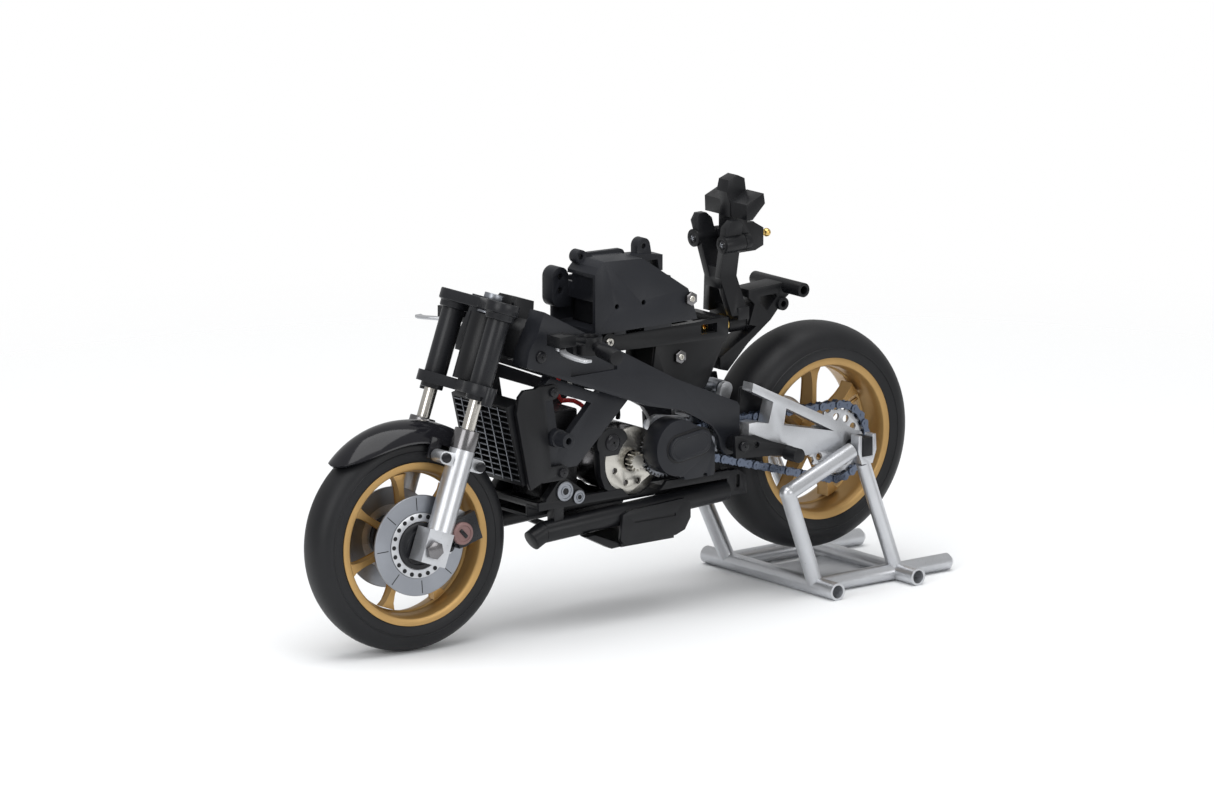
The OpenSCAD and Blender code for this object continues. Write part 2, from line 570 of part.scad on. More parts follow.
module servo_box() color("#3c3d42") difference() {
  union() {
    plate(-box_half, 1.4 - box_half) polygon([[-16, box_z], [-16, 122.3], [-12, 126.4],
      [4.5, 125.6], [11, 121.4], [24.4, 112.6], [26, 109.2], [28.5, box_z]]);
    plate(box_half - 1.4, box_half) polygon([[-16, box_z], [-16, 113.4], [-12, 117.6],
      [12, 117.6], [23, 113.2], [26, 109.2], [28.5, box_z]]);
    block([-16, -box_half + 1, box_z], [28.4, box_half - 1, box_z + 1.4]);
    block([-14, -box_half + 1, 112], [-12.6, box_half - 1, 117.4]);
    block([-14, -box_half + 1, 112], [-12.6, 2.8, 124.4]);
    plate(-box_half + 1, 2.8) polygon([[-16, 121], [-16, 122.3], [-12, 126.4], [4.5, 125.6],
      [11, 121.4], [11, 119.7], [4, 124.2], [-11.5, 125.1], [-14.6, 122], [-14.6, 121]]);
    plate(-3, 2.6) polygon([[1, 125.2], [14, 124.5], [20.8, 123.4], [20.8, 117.9], [19.2, 117.9],
      [18.6, 121.9], [1, 123.4]]);
    plate(5, 10.6) {
      link(-17.4, 118.9, 3.5, -17.4, 112, 3.5);
      polygon([[-17.4, 108.5], [-12.6, 108.5], [-12.6, 117.3], [-17.4, 117.3]]);
    }
    plate(1.4, 3.4) link(-9.6, 125, 2, 5.6, 124.6, 2);
    both() block([8, rail_y - 2.4, 99.3], [20, rail_y, box_z + 0.2]);
    both() block([-5, rail_y - 2.4, 99.3], [0, rail_y, box_z + 0.2]);
    plate(-1.6, 2) {
      link(-13.6, 126.6, 2.4, -10, 124.4, 2.4);
      link(13.6, 127, 2.8, 14, 122.8, 3.2);
    }
  }
  for (p = [[-6.6, 110.2], [5, 110.2]]) translate([p[0], 0, p[1]]) rod_y(0.9, -30, 0, 24);
  translate([-13.6, 0, 126.6]) rod_y(0.9, -30, 30, 24);
  translate([13.6, 0, 127]) rod_y(0.9, -30, 30, 24);
  translate([-17.4, 0, 119.2]) rod_y(1.1, 3, 30, 24);
  translate([-17.4, 0, 114.4]) rod_y(1.1, 3, 30, 24);
}
module controller() color("#222326") block([-10, -10, box_z + 1.5], [19, 8, 117.5]);
module tail_bar() color("#36373b") difference() {
  union() {
    translate([0, 0, rider_z]) rod_x(3.4, 57.8, 64);
    plate(-4.2, 4.2) polygon([[58, rider_z - 1], [64, rider_z - 2.5], [67.9, 94.9], [73.8, 101.2],
      [77, 103.5], [77, 107.4], [57.8, 106.3], [57.8, 103.6], [60.5, 101]]);
    plate(-4.2, 4.2) polygon([[45.3, 79.9], [48.6, 79], [57.5, 87.6], [68, 94.9], [63.9, 95], [58, 91],
      [52, 87.9], [45.3, 84]]);
    translate([74.8, 0, 105.6]) rod_y(2.5, -13.5, 13.5);
    translate([72.2, 0, 99.8]) rod_y(2.3, -5.6, 5.6);
  }
  plate(-20, 20) polygon([[63, 101], [66, 98], [70.5, 102.6], [70, 103.6], [63, 103.4]]);
  translate([74.8, 0, 105.6]) rod_y(1.5, -20, 20);
  translate([72.2, 0, 99.8]) rod_y(1.1, -20, 20);
  translate([0, 0, rider_z]) rod_x(2, 40, 80);
}
bar_y = 25;
module handlebar() color("#2b2c30") {
  difference() {
    union() {
      translate([-30, bar_y + 2, 99.5]) cylinder(h = 6, r = 4.6);
      block([-36, frame_half, 99.6], [-24, bar_y + 1, 102.4]);
    }
    translate([-30, bar_y + 2, 98]) cylinder(h = 10, r = 3.2);
  }
  tube([-30, bar_y + 6, 102.5], [-32, bar_y + 12, 102.2], 1.9);
  tube([-31.8, bar_y + 11, 102.2], [-33, 46, 101.4], 2.5);
  tube([-33, bar_y + 3, 104], [-44, bar_y + 6, 107], 1.6);
  block([-48, bar_y + 2, 104.6], [-41, bar_y + 9, 108.4]);
  translate([lever_x, lever_y, 102]) cylinder(h = 3, r = 0.8);
}
module handlebar_right() handlebar();
module handlebar_left() mirror([0, 1, 0]) handlebar();
lever_x = -44.5;
lever_y = bar_y + 5;
module lever() color("whitesmoke") difference() {
  union() {
    translate([lever_x, lever_y, 102.8]) cylinder(h = 1.4, r = 1.8);
    translate([0, 0, 102.9]) linear_extrude(1.1) {
      link(lever_x, lever_y, 1.3, lever_x - 4, lever_y + 5, 1);
      link(lever_x - 4, lever_y + 5, 1, lever_x - 3.4, lever_y + 12.5, 0.8);
    }
  }
  translate([lever_x, lever_y, 100]) cylinder(h = 6, r = 0.8 + fit);
}
module clutch_lever() mirror([0, 1, 0]) lever();
module brake_lever() lever();
peg_y = arm_out + 0.7;
module footpegs() color("#2b2c30") both() {
  plate(peg_y, peg_y + 1.6) difference() {
    polygon([[34.5, 61.5], [43, 61], [51, 57.5], [60, 54.6], [60, 51], [51, 52.5], [35, 53.6]]);
    dot(44.2, 57.3, 1.1);
  }
  translate([37.6, 0, 57.8]) rod_y(2.6, frame_half, peg_y + 0.1);
  translate([57.8, 0, 52.6]) rod_y(2.5, peg_y + 1.5, peg_y + 8);
}
module screw(x, z, y, r) translate([x, 0, z]) rod_y(r, y, y + 0.9, 32);
module frame_fasteners() color("gray") both() {
  screw(-45.3, 99, frame_half, 2.1);
  screw(-38, 85.5, frame_half - 2.4, 1.7);
  screw(-34, 57, frame_half - 2.4, 1.7);
  screw(-32, 50, case_rim, 3.4);
  screw(-26, 47.2, case_rim, 2.4);
  screw(-11, 64, lug_y, 3);
  screw(25.2, 109, box_half, 2.4);
  screw(38, 57.6, peg_y + 1.6, 1.8);
  translate([-9, 0, 98]) rod_y(1.55, rail_y - 2.4, rail_y + 3.2);
  translate([24, 0, 88]) rod_y(2.4, rail_y - 1, rail_y + 0.2, 6);
}
// Three motor leads, from the motor's end up to the servo box
wire_r = 0.8;
wire_paths = [
  [[-2, 9, 66.8], [-4, 9, 71], [-10, 8, 74.5], [-17, 6, 76], [-18.4, 5, 83], [-16.8, 4, 92],
    [-15.1, 3, 101.1]],
  [[2, 6, 66.8], [1, 6, 71], [-6, 5, 77], [-14, 3, 79.5], [-16.8, 1, 86], [-16, 1, 93], [-15, 0, 101.1]],
  [[6, 3, 66.8], [5, 2, 71], [-1, 0, 79], [-9, -2, 82], [-15, -3, 88], [-15.6, -3, 94], [-15, -3, 101.1]]];
function spline(p, t) = let (n = len(p) - 1, i = min(floor(t * n), n - 1), u = t * n - i,
  a = p[max(i - 1, 0)], b = p[i], c = p[i + 1], d = p[min(i + 2, n)])
  0.5 * (2 * b + (c - a) * u + (2 * a - 5 * b + 4 * c - d) * u * u
  + (3 * b - a - 3 * c + d) * u * u * u);
module sweep(path, r, rings) {
  sides = 8;
  step = 1 / (rings - 1);
  points = [for (i = [0:rings - 1]) let (t = i * step, c = spline(path, t),
    d = spline(path, min(t + 0.01, 1)) - spline(path, max(t - 0.01, 0)),
    w = d / norm(d), side = cross(w, [0, 1, 0]), u = side / norm(side), v = cross(w, u))
    for (k = [0:sides - 1]) c + r * (u * cos(k * 45) + v * sin(k * 45))];
  faces = concat(
    [[for (k = [0:sides - 1]) k]],
    [for (i = [0:rings - 2]) for (k = [0:sides - 1])
      [i * sides + (k + 1) % sides, i * sides + k, (i + 1) * sides + k, (i + 1) * sides + (k + 1) % sides]],
    [[for (k = [sides - 1:-1:0]) (rings - 1) * sides + k]]);
  polyhedron(points, faces);
}
module motor_wires() color("firebrick") for (p = wire_paths) sweep(p, wire_r, 14);

// ---- rider mount ----
module rider_arms() color("#36373b") difference() {
  union() {
    both() {
      translate([0, 8, nod_z]) {
        rod_x(3.1, 42.9, 51.4);
        rod_x(1, 51, 55.5);
      }
      intersection() {
        union() for (part = [[46.6, nod_z + 8.6, 7.6, 48.6, 112, 1.4], [48.6, 112.3, 1.4, 51, 99, 5]])
          tilted_arm(part);
        plate(0, 20) polygon([[40, 90], [60, 90], [60, 125], [50.4, nod_z + 6.5], [48.4, nod_z + 8.4],
          [45.4, nod_z + 8.4], [43.2, nod_z + 6], [40, nod_z]]);
      }
    }
    block([45.2, -4.2, 108.4], [52, 4.2, 115.6]);
    translate([0, 0, rider_z]) rod_x(3.5, 50.2, 57.3);
    block([50.2, -8, rider_z + 2.2], [55, 8, 101.6]);
  }
  translate([0, 0, rider_z]) rod_x(2, 40, 70);
  both() translate([0, 8, nod_z]) rod_x(1.7, 40, 43.9);
}
// One stretch of an arm: from x, z, y to x, z, y, three wide and eight deep
module tilted_arm(p) {
  h = p[1] - p[4];
  lean = (p[0] - p[3]) / h;
  spread = (p[2] - p[5]) / h;
  translate([p[3] - 3.6, p[5], p[4]])
    multmatrix([[1, 0, lean, 0], [0, 1, spread, 0], [0, 0, 1, 0], [0, 0, 0, 1]])
    cube([7.2, 3, h]);
}
module pivot_bush() color("gold") translate([0, 0, rider_z]) difference() {
  union() {
    rod_x(3.6, 46.4, 49.8);
    rod_x(1.95, 41.5, 64.4);
  }
  rod_x(0.9, 30, 70);
}
module rider_head() color("#2b2c30") difference() {
  union() {
    plate(-5, 5) polygon([[51.8, nod_z - 4.4], [60, nod_z - 4.4], [63.6, nod_z - 3], [63.6, nod_z + 3.2],
      [59.5, nod_z + 5.6], [59.5, nod_z + 10], [51.8, nod_z + 10]]);
    both() {
      translate([0, 8, nod_z]) rod_x(3, 51.7, 54.2);
      block([51.8, 4.6, nod_z - 2.6], [54.1, 8, nod_z + 2.6]);
      plate(2.3, 11.5) polygon([[51, nod_z + 8.2], [53.5, nod_z + 8], [59, nod_z + 13.2],
        [58.4, nod_z + 16.8], [50.8, nod_z + 13.6]]);
    }
    plate(-2.7, 2.7) polygon([[50.6, nod_z + 8], [59.3, nod_z + 9], [59.8, nod_z + 14.6], [57.6, nod_z + 17],
      [57, nod_z + 21], [54, nod_z + 22.4], [50, nod_z + 21], [49, nod_z + 17], [50.6, nod_z + 13]]);
  }
  both() translate([0, 8, nod_z]) rod_x(1 + fit, 40, 70);
  block([56.4, -20, nod_z + 5.8], [70, 20, nod_z + 7.8]);
}
module ball_stud() color("gold") translate([0, 0, nod_z]) {
  rod_x(1.4, 63.6, 66);
  rod_x(0.8, 65.9, 68.2);
  translate([69, 0, 0]) sphere(1.5);
}

// ---- shock ----
shock_front = [16, 0, 81];
shock_rear = [47, 0, 73];
shock_dir = shock_rear - shock_front;
shock_unit = shock_dir / norm(shock_dir);
module shock_body() color("#2b2c30") {
  difference() {
    union() {
      tube(shock_front + 1.5 * shock_unit, shock_front + 19 * shock_unit, 3.6);
      translate(shock_front) rod_y(3, -3, 3);
    }
    tube(shock_front + 6 * shock_unit, shock_front + 30 * shock_unit, 1.8);
    translate(shock_front) rod_y(1.2, -10, 10);
  }
}
module shock_rod() color("silver") difference() {
  union() {
    tube(shock_front + 12 * shock_unit, shock_rear - 2 * shock_unit, 1.7);
    translate(shock_rear) rod_y(2.8, -3, 3);
  }
  translate(shock_rear) rod_y(1.25, -10, 10);
}

// ---- swingarm ----
module swing_side() {
  plate(arm_in, arm_out) polygon([[42.5, 64.5], [46, 64.6], [83, 56.2], [92.5, 55], [94.5, 52],
    [93.5, 48], [88, 46.6], [84, 48.5], [77, 50.3], [68, 49.8], [57, 53.8], [42.5, 57]]);
  plate(arm_in + 0.6, arm_out) polygon([[43.8, 75.6], [44.4, 78.5], [84.5, 58.8], [91.5, 55.2],
    [91.5, 52], [83, 55.4]]);
  plate(arm_in, arm_out) polygon([[50.9, 62], [53.8, 72.6], [59.5, 70], [57.6, 60]]);
}
module swingarm() color("gainsboro") difference() {
  union() {
    both() swing_side();
    block([42.5, -arm_out, 57], [45.4, arm_out, 61]);
    both() {
      plate(9.4, 11.6) {
        link(output_x, output_z, 4, 43.5, 59, 2);
      }
      plate(3.6, 5.6) {
        link(44, 60, 2.4, 44.6, 66, 2.2);
        link(44.6, 66, 2.2, shock_rear[0], shock_rear[2], 2.6);
      }
    }
    translate(shock_rear) rod_y(1.2, -5, 5);
  }
  at_output() rod_y(shaft_r + fit, -30, 30);
  translate([rear_x, 0, rear_axle_z]) rod_y(axle_r + fit, -30, 30);
}
module splash_guard() color("#222326") both() {
  plate(12.2, 13.4) polygon([[45.6, 61.4], [56, 61.4], [58, 70], [57, 75], [47, 75]]);
  plate(6, 12.3) polygon([[45.6, 61.4], [46.8, 61.4], [47.9, 67], [46.7, 67]]);
}
module chain_loop(w) {
  d = sqrt(pow(rear_x - output_x, 2) + pow(rear_axle_z - output_z, 2));
  link(output_x, output_z, front_sprocket_r + w, rear_x, rear_axle_z, rear_sprocket_r + w);
}
module chain() color("#3d4656") {
  for (y = [-chain_y - 1.5, -chain_y + 0.8]) plate(y, y + 0.7) difference() {
    chain_loop(1.3);
    chain_loop(-1.2);
  }
  d = sqrt(pow(rear_x - output_x, 2) + pow(rear_axle_z - output_z, 2));
  a = atan2(rear_axle_z - output_z, rear_x - output_x);
  b = acos((front_sprocket_r - rear_sprocket_r) / d);
  run = sqrt(d * d - pow(front_sprocket_r - rear_sprocket_r, 2));
  n = floor(run / chain_pitch);
  for (s = [-1, 1]) for (i = [0:n]) {
    t = i / n;
    x = output_x + front_sprocket_r * cos(a + s * b) + run * t * cos(a + s * (b - 90));
    z = output_z + front_sprocket_r * sin(a + s * b) + run * t * sin(a + s * (b - 90));
    translate([x, 0, z]) rod_y(0.5, -chain_y - 1, -chain_y + 1, 16);
  }
  for (i = [1:rear_teeth / 2]) {
    w = a + b - i * 2 * b / (floor(rear_teeth / 2) + 1);
    translate([rear_x + rear_sprocket_r * cos(w), 0, rear_axle_z + rear_sprocket_r * sin(w)])
      rod_y(0.5, -chain_y - 1, -chain_y + 1, 16);
  }
}
module rear_caliper() color("whitesmoke") translate([rear_x, 0, rear_axle_z]) rotate([0, 150, 0]) {
  block([7.5, chain_y + 0.5, -4], [14.5, arm_in, 4]);
  block([rear_disc_r + 0.5, 12.6, -4], [14.5, chain_y + 0.6, 4]);
  block([7.5, 12.6, -4], [14.5, chain_y - 1.4, 4]);
}

// ---- stand ----
hook_out = 27.6;
leg_r = stand_r - 0.3;
module stand_leg() {
  foot = [stand_front_x, stand_half, stand_r];
  bend = [rear_x - 30.5, stand_half + 2.8, 38.6];
  top = [hook_x - 5.4, hook_out, hook_z - 1];
  tube(foot, bend, leg_r);
  translate(bend) sphere(leg_r + 0.15);
  tube(bend, top, leg_r);
  tube([stand_rear_x, stand_half, stand_r], [hook_x, hook_out - 0.5, hook_z - 6], leg_r - 0.2);
}
module stand_hook() plate(hook_out - 2.2, hook_out + 2) translate([hook_x, hook_z]) polygon([
  [-3.8, 4], [-4.1, -1.5], [-2.4, -6.2], [2.4, -6.2], [4.1, -1.5], [3.8, 4], [2.4, 4],
  [2.4, -3.5], [-2.4, -3.5], [-2.4, 4]]);
module stand() color("silver") difference() {
  union() {
    for (x = [stand_front_x, stand_rear_x]) translate([x, 0, stand_r])
      rod_y(stand_r, -stand_tube_half, stand_tube_half);
    both() {
      translate([0, stand_half, stand_r]) rod_x(stand_r - 0.1, stand_front_x, tail_x - 1.5);
      translate([tail_x - 1.6, stand_half, stand_r]) rotate([0, 90, 0])
        cylinder(h = 1.6, r1 = stand_r - 0.1, r2 = stand_r - 1.4);
      stand_leg();
      stand_hook();
    }
    block([stand_front_x, -12, 0], [stand_rear_x, 12, 2.2]);
  }
  for (x = [stand_front_x, stand_rear_x]) translate([x, 0, stand_r]) both()
    rod_y(stand_r - 0.8, stand_half + stand_r + 1, stand_tube_half + 1);
}

steered() upper_clamp();
steered() lower_clamp();
steered() steering_stem();
steered() fork_sleeves();
steered() inner_tubes();
steered() slider_left();
steered() slider_right();
steered() slider_collars();
steered() front_fender();
steered() front_axle();
steered() front_calipers();
steered() fork_screws();
steered() fork_springs();
steered() front_tyre();
steered() front_rim();
steered() front_discs();
place() frame_left();
place() frame_right();
place() head_block();
place() side_braces();
place() radiator();
place() radiator_shrouds();
place() lower_case();
place() battery();
place() gear_cover();
place() motor();
place() motor_plate();
place() counter_gear();
place() belly_pipes();
place() skid_bracket();
place() subframe();
place() servo_box();
place() controller();
place() tail_bar();
place() handlebar_left();
place() handlebar_right();
place() footpegs();
place() frame_fasteners();
place() motor_wires();
place() clutch_lever();
place() brake_lever();
place() rider_arms();
place() pivot_bush();
place() rider_head();
place() ball_stud();
place() output_shaft();
place() pinion();
place() shock_body();
place() shock_rod();
place() swingarm();
place() splash_guard();
place() chain();
at_rear_axle() rear_axle();
place() stand_spools();
place() rear_caliper();
at_rear_axle() rear_tyre();
at_rear_axle() rear_rim();
at_rear_axle() rear_sprocket();
place() stand();
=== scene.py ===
"""A racing RC motorcycle without its fairing, on a paddock stand."""
import json
import math

import bpy
from mathutils import Matrix, Vector


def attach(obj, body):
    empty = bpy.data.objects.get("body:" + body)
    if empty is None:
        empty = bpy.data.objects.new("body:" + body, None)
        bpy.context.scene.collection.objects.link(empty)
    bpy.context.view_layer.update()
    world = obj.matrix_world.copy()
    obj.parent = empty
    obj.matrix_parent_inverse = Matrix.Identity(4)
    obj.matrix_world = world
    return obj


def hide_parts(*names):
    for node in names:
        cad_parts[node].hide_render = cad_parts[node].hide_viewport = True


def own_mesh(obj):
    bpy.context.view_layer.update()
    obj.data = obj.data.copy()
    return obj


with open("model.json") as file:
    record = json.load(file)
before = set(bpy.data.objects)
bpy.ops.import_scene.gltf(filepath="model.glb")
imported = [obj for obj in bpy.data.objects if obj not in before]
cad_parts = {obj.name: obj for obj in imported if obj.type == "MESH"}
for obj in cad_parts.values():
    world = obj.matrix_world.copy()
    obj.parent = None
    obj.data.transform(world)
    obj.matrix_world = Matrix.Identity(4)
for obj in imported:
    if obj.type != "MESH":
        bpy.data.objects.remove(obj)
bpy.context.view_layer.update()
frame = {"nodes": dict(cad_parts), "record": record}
record = frame["record"]
joints = {j["name"]: j for j in record["behaviour"]["joints"]}

# Camera: a long lens from the left front, a little above the bike.
# It looks down by a few degrees, so both wheels and the stand's base show.
CAMERA_YAW, CAMERA_PITCH, CAMERA_LENS = -38.119, 12.461, 296.54
CAMERA_PLACE = (-2.070493, -2.632228, 0.812525)
bpy.ops.object.camera_add(location=CAMERA_PLACE,
                          rotation=(math.radians(90 - CAMERA_PITCH), 0, math.radians(CAMERA_YAW)))
camera = bpy.context.object
camera.data.lens = CAMERA_LENS
camera.data.sensor_width = 36
camera.data.clip_end = 20
bpy.context.scene.camera = camera
bpy.context.scene.view_settings.view_transform = "Standard"


# ---- Finishes ----
# Moulded plastic and rubber carry a fine grain, and cast or painted metal a satin skin with faint
# tone changes. Each finish is a few shader nodes, built by the classes and functions below.
class Socket:
    """A number or a colour on its way through a material's nodes."""

    def __init__(self, tree, link):
        self.tree, self.link = tree, link

    def __add__(self, other):
        return node_of(self.tree, "ShaderNodeMath", {"operation": "ADD"}, {0: self, 1: other})

    def __mul__(self, other):
        return node_of(self.tree, "ShaderNodeMath", {"operation": "MULTIPLY"}, {0: self, 1: other})


def node_of(tree, kind, settings=None, inputs=None, output=0):
    """Adds one node with its settings, then its sockets' values or links."""
    node = tree.nodes.new(kind)
    for name, value in (settings or {}).items():
        setattr(node, name, value)
    for key, value in (inputs or {}).items():
        if isinstance(value, Socket):
            tree.links.new(value.link, node.inputs[key])
        else:
            node.inputs[key].default_value = value
    return Socket(tree, node.outputs[output])


class Finish:
    """One material: its nodes, its Principled shader and the patterns that feed it."""

    def __init__(self, name, **constants):
        self.material = bpy.data.materials.new(name)
        self.material.use_nodes = True
        self.tree = self.material.node_tree
        self.shader = self.tree.nodes["Principled BSDF"]
        for key, value in constants.items():
            self.shader.inputs[key.replace("_", " ")].default_value = value
        self.place = self.add("ShaderNodeTexCoord", output="Object")

    def add(self, kind, settings=None, output=0, **inputs):
        named = {key.replace("_", " "): value for key, value in inputs.items()}
        return node_of(self.tree, kind, settings, named, output)

    def noise(self, scale, detail):
        return self.add("ShaderNodeTexNoise", None, "Fac", Vector=self.place, Scale=scale,
                        Detail=detail, Roughness=0.55)

    def mix(self, factor, a, b):
        colours = {0: factor, 6: a, 7: b}
        return node_of(self.tree, "ShaderNodeMix", {"data_type": "RGBA"}, colours, 2)

    def spread(self, value, low, high, to_low, to_high):
        return self.add("ShaderNodeMapRange", None, "Result", Value=value, From_Min=low,
                        From_Max=high, To_Min=to_low, To_Max=to_high)

    def feed(self, socket, value):
        self.tree.links.new(value.link, self.shader.inputs[socket])

    def bump(self, height, strength, distance):
        lift = self.add("ShaderNodeBump", None, "Normal", Height=height, Strength=strength,
                        Distance=distance)
        self.feed("Normal", lift)


def colour(r, g, b):
    return (r, g, b, 1.0)


def moulded(name, tone, rough, grain=0.25):
    """Moulded nylon or rubber: a fine spark-eroded grain, with slightly lighter patches."""
    finish = Finish(name, IOR=1.5, Specular_IOR_Level=0.27)
    speckle = finish.noise(2600.0, 2.0)
    cloud = finish.noise(45.0, 3.0)
    pale = colour(*[min(1.0, c * 1.45 + 0.006) for c in tone])
    base = finish.mix(finish.spread(cloud, 0.35, 0.65, 0.0, 0.5), colour(*tone), pale)
    finish.feed("Base Color", base)
    finish.feed("Roughness", finish.spread(speckle, 0.3, 0.7, rough - 0.05, rough + 0.07))
    finish.bump(speckle, grain, 0.00005)
    return finish.material


def cast_metal(name, tone, rough, flake=0.12, metal=1.0):
    """Cast or painted metal: a fine satin skin with faint tone changes."""
    finish = Finish(name, Metallic=metal)
    skin = finish.noise(3200.0, 2.0)
    cloud = finish.noise(60.0, 3.0)
    dull = colour(*[c * 0.86 for c in tone])
    base = finish.mix(finish.spread(cloud, 0.35, 0.65, 0.0, 1.0), colour(*tone), dull)
    finish.feed("Base Color", base)
    finish.feed("Roughness", finish.spread(skin, 0.3, 0.7, rough - 0.06, rough + 0.08))
    finish.bump(skin, flake, 0.00003)
    return finish.material


FINISHES = {
    "frame_plastic": moulded("frame_plastic", (0.0095, 0.0105, 0.0138), 0.38),
    "dark_plastic": moulded("dark_plastic", (0.0042, 0.0045, 0.0057), 0.36),
    "fork_black": moulded("fork_black", (0.010, 0.0105, 0.0125), 0.3, 0.12),
    "gloss_black": moulded("gloss_black", (0.008, 0.008, 0.01), 0.1, 0.0),
    "gold": cast_metal("gold", (0.46, 0.285, 0.105), 0.38, 0.2, 0.6),
    "tyre": moulded("tyre", (0.0055, 0.0058, 0.0070), 0.46, 0.3),
    "satin_silver": cast_metal("satin_silver", (0.56, 0.572, 0.595), 0.33, 0.1, 0.85),
    "chrome": cast_metal("chrome", (0.60, 0.575, 0.53), 0.2, 0.0),
    "dark_chrome": cast_metal("dark_chrome", (0.20, 0.195, 0.20), 0.2, 0.0),
    "steel": cast_metal("steel", (0.30, 0.315, 0.345), 0.36, 0.1),
    "chain_steel": cast_metal("chain_steel", (0.14, 0.165, 0.22), 0.3, 0.1),
    "nickel": cast_metal("nickel", (0.62, 0.60, 0.55), 0.32, 0.05),
    "brass": cast_metal("brass", (0.78, 0.54, 0.18), 0.22, 0.05),
    "white_plastic": cast_metal("white_plastic", (0.78, 0.78, 0.76), 0.35, 0.02, 0.0),
    "wire": moulded("wire", (0.42, 0.02, 0.02), 0.35, 0.05),
    "battery_wrap": moulded("battery_wrap", (0.006, 0.006, 0.007), 0.3, 0.02),
}
slot_of = {part["node"]: part["material_slot"] for part in record["subparts"]}
for name, node in frame["nodes"].items():
    node.data.materials.clear()
    node.data.materials.append(FINISHES["nickel" if name == "pinion" else slot_of[name]])


# ---- Wheels ----
# Both tyres are smooth slick rubber, pressed on the rims. A thin moulding ridge runs round each
# sidewall, and the crown is round, so they are turned in one piece.
def add_primitive(kind, name, **settings):
    """Starts a piece with one primitive, with nothing else selected."""
    bpy.ops.object.select_all(action="DESELECT")
    getattr(bpy.ops.mesh, f"primitive_{kind}_add")(**settings)
    piece = bpy.context.object
    piece.name = piece.data.name = name
    return piece


def select_only(piece):
    bpy.ops.object.select_all(action="DESELECT")
    piece.select_set(True)
    bpy.context.view_layer.objects.active = piece


def leave_facing_out():
    """Turns every face of the piece in edit mode outward, and leaves edit mode."""
    bpy.ops.mesh.select_all(action="SELECT")
    bpy.ops.mesh.normals_make_consistent(inside=False)
    bpy.ops.object.mode_set(mode="OBJECT")


def twin(piece):
    """A second piece with a mesh of its own."""
    other = piece.copy()
    other.data = piece.data.copy()
    bpy.context.collection.objects.link(other)
    return other


def turned(name, outline, steps=96):
    """A piece turned round the Y axis. The outline gives radius and place on the axis, in mm."""
    piece = add_primitive("plane", name, size=0.001)
    bpy.ops.object.mode_set(mode="EDIT")
    bpy.ops.mesh.merge(type="CENTER")
    bpy.ops.transform.translate(value=(outline[0][0] / 1000, outline[0][1] / 1000, 0))
    for (r0, y0), (r1, y1) in zip(outline, outline[1:]):
        bpy.ops.mesh.extrude_vertices_move(
            TRANSFORM_OT_translate={"value": ((r1 - r0) / 1000, (y1 - y0) / 1000, 0)})
    bpy.ops.mesh.select_all(action="SELECT")
    bpy.ops.mesh.spin(steps=steps, angle=math.tau, center=(0, 0, 0), axis=(0, 1, 0))
    bpy.ops.mesh.select_all(action="SELECT")
    bpy.ops.mesh.remove_doubles(threshold=0.000002)
    leave_facing_out()
    return piece


def joined(name, pieces):
    """Several meshes made one piece."""
    bpy.ops.object.select_all(action="DESELECT")
    for piece in pieces:
        piece.select_set(True)
    bpy.context.view_layer.objects.active = pieces[0]
    bpy.ops.object.join()
    whole = bpy.context.object
    whole.name = whole.data.name = name
    return whole


def settle(piece, finish, body, *nodes, smooth=35, at=None):
    """Puts a piece in its place, gives it its finish, and lets it move with its body."""
    if at is not None:
        piece.data.transform(at)
    select_only(piece)
    bpy.ops.object.transform_apply(location=True, rotation=True, scale=True)
    bpy.ops.object.shade_smooth_by_angle(angle=math.radians(smooth))
    piece.data.materials.clear()
    piece.data.materials.append(FINISHES[finish])
    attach(piece, body)
    if nodes:
        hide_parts(*nodes)
    return piece


def joint_place(name):
    return Vector(joints[name]["pos_m"])


steer_axis = Vector(joints["steering_turn"]["axis"])
spin_axis = Vector(joints["front_wheel_spin"]["axis"])
rake = math.atan2(steer_axis.x, steer_axis.z)
upright = Matrix.Rotation(-rake, 3, "Y") @ spin_axis
FRONT_WHEEL = (Matrix.Translation(joint_place("front_wheel_spin")) @ Matrix.Rotation(rake, 4, "Y")
               @ Matrix.Rotation(math.atan2(-upright.x, upright.y), 4, "Z"))
REAR_WHEEL = Matrix.Translation(joint_place("rear_wheel_spin"))


def tyre_outline(radius, half, seat):
    """Round crown, a moulding ridge low on each sidewall, and the bead on the rim."""
    crown = half * 1.12
    side = [(seat + 0.05, half - 0.4), (seat + 0.5, half - 0.1), (seat + 2.6, half),
            (seat + 3.3, half + 0.02), (seat + 3.45, half + 0.22), (seat + 3.75, half + 0.22),
            (seat + 3.9, half - 0.02)]
    low = seat + 4.0
    arc = []
    for step in range(1, 13):
        turn = math.radians(90 * step / 12)
        arc.append((low + (radius - low) * math.sin(turn),
                    half * math.cos(turn) ** (half / crown)))
    left = side + arc[:-1] + [(radius, 0)]
    right = [(r, -y) for r, y in reversed(left[:-1])]
    inner = [(seat + 0.05, -half + 0.4), (seat + 0.05, half - 0.4)]
    return left + right + inner[1:]


# Each tyre's radius, half width and bead seat, in mm.
FRONT_TYRE, REAR_TYRE = (37.5, 7.6, 28.0), (40.0, 11.0, 28.5)
settle(turned("front_tyre_slick", tyre_outline(*FRONT_TYRE), 128), "tyre", "front_wheel",
       "front_tyre", at=FRONT_WHEEL, smooth=50)
settle(turned("rear_tyre_slick", tyre_outline(*REAR_TYRE), 128), "tyre", "rear_wheel",
       "rear_tyre", at=REAR_WHEEL, smooth=50)


# Each rim is one casting, painted gold: a lipped barrel, a hub, and seven spokes, each a beam
# with a rib along both edges, which widens into the barrel. A valve stem stands in the barrel.
SPOKES = 7


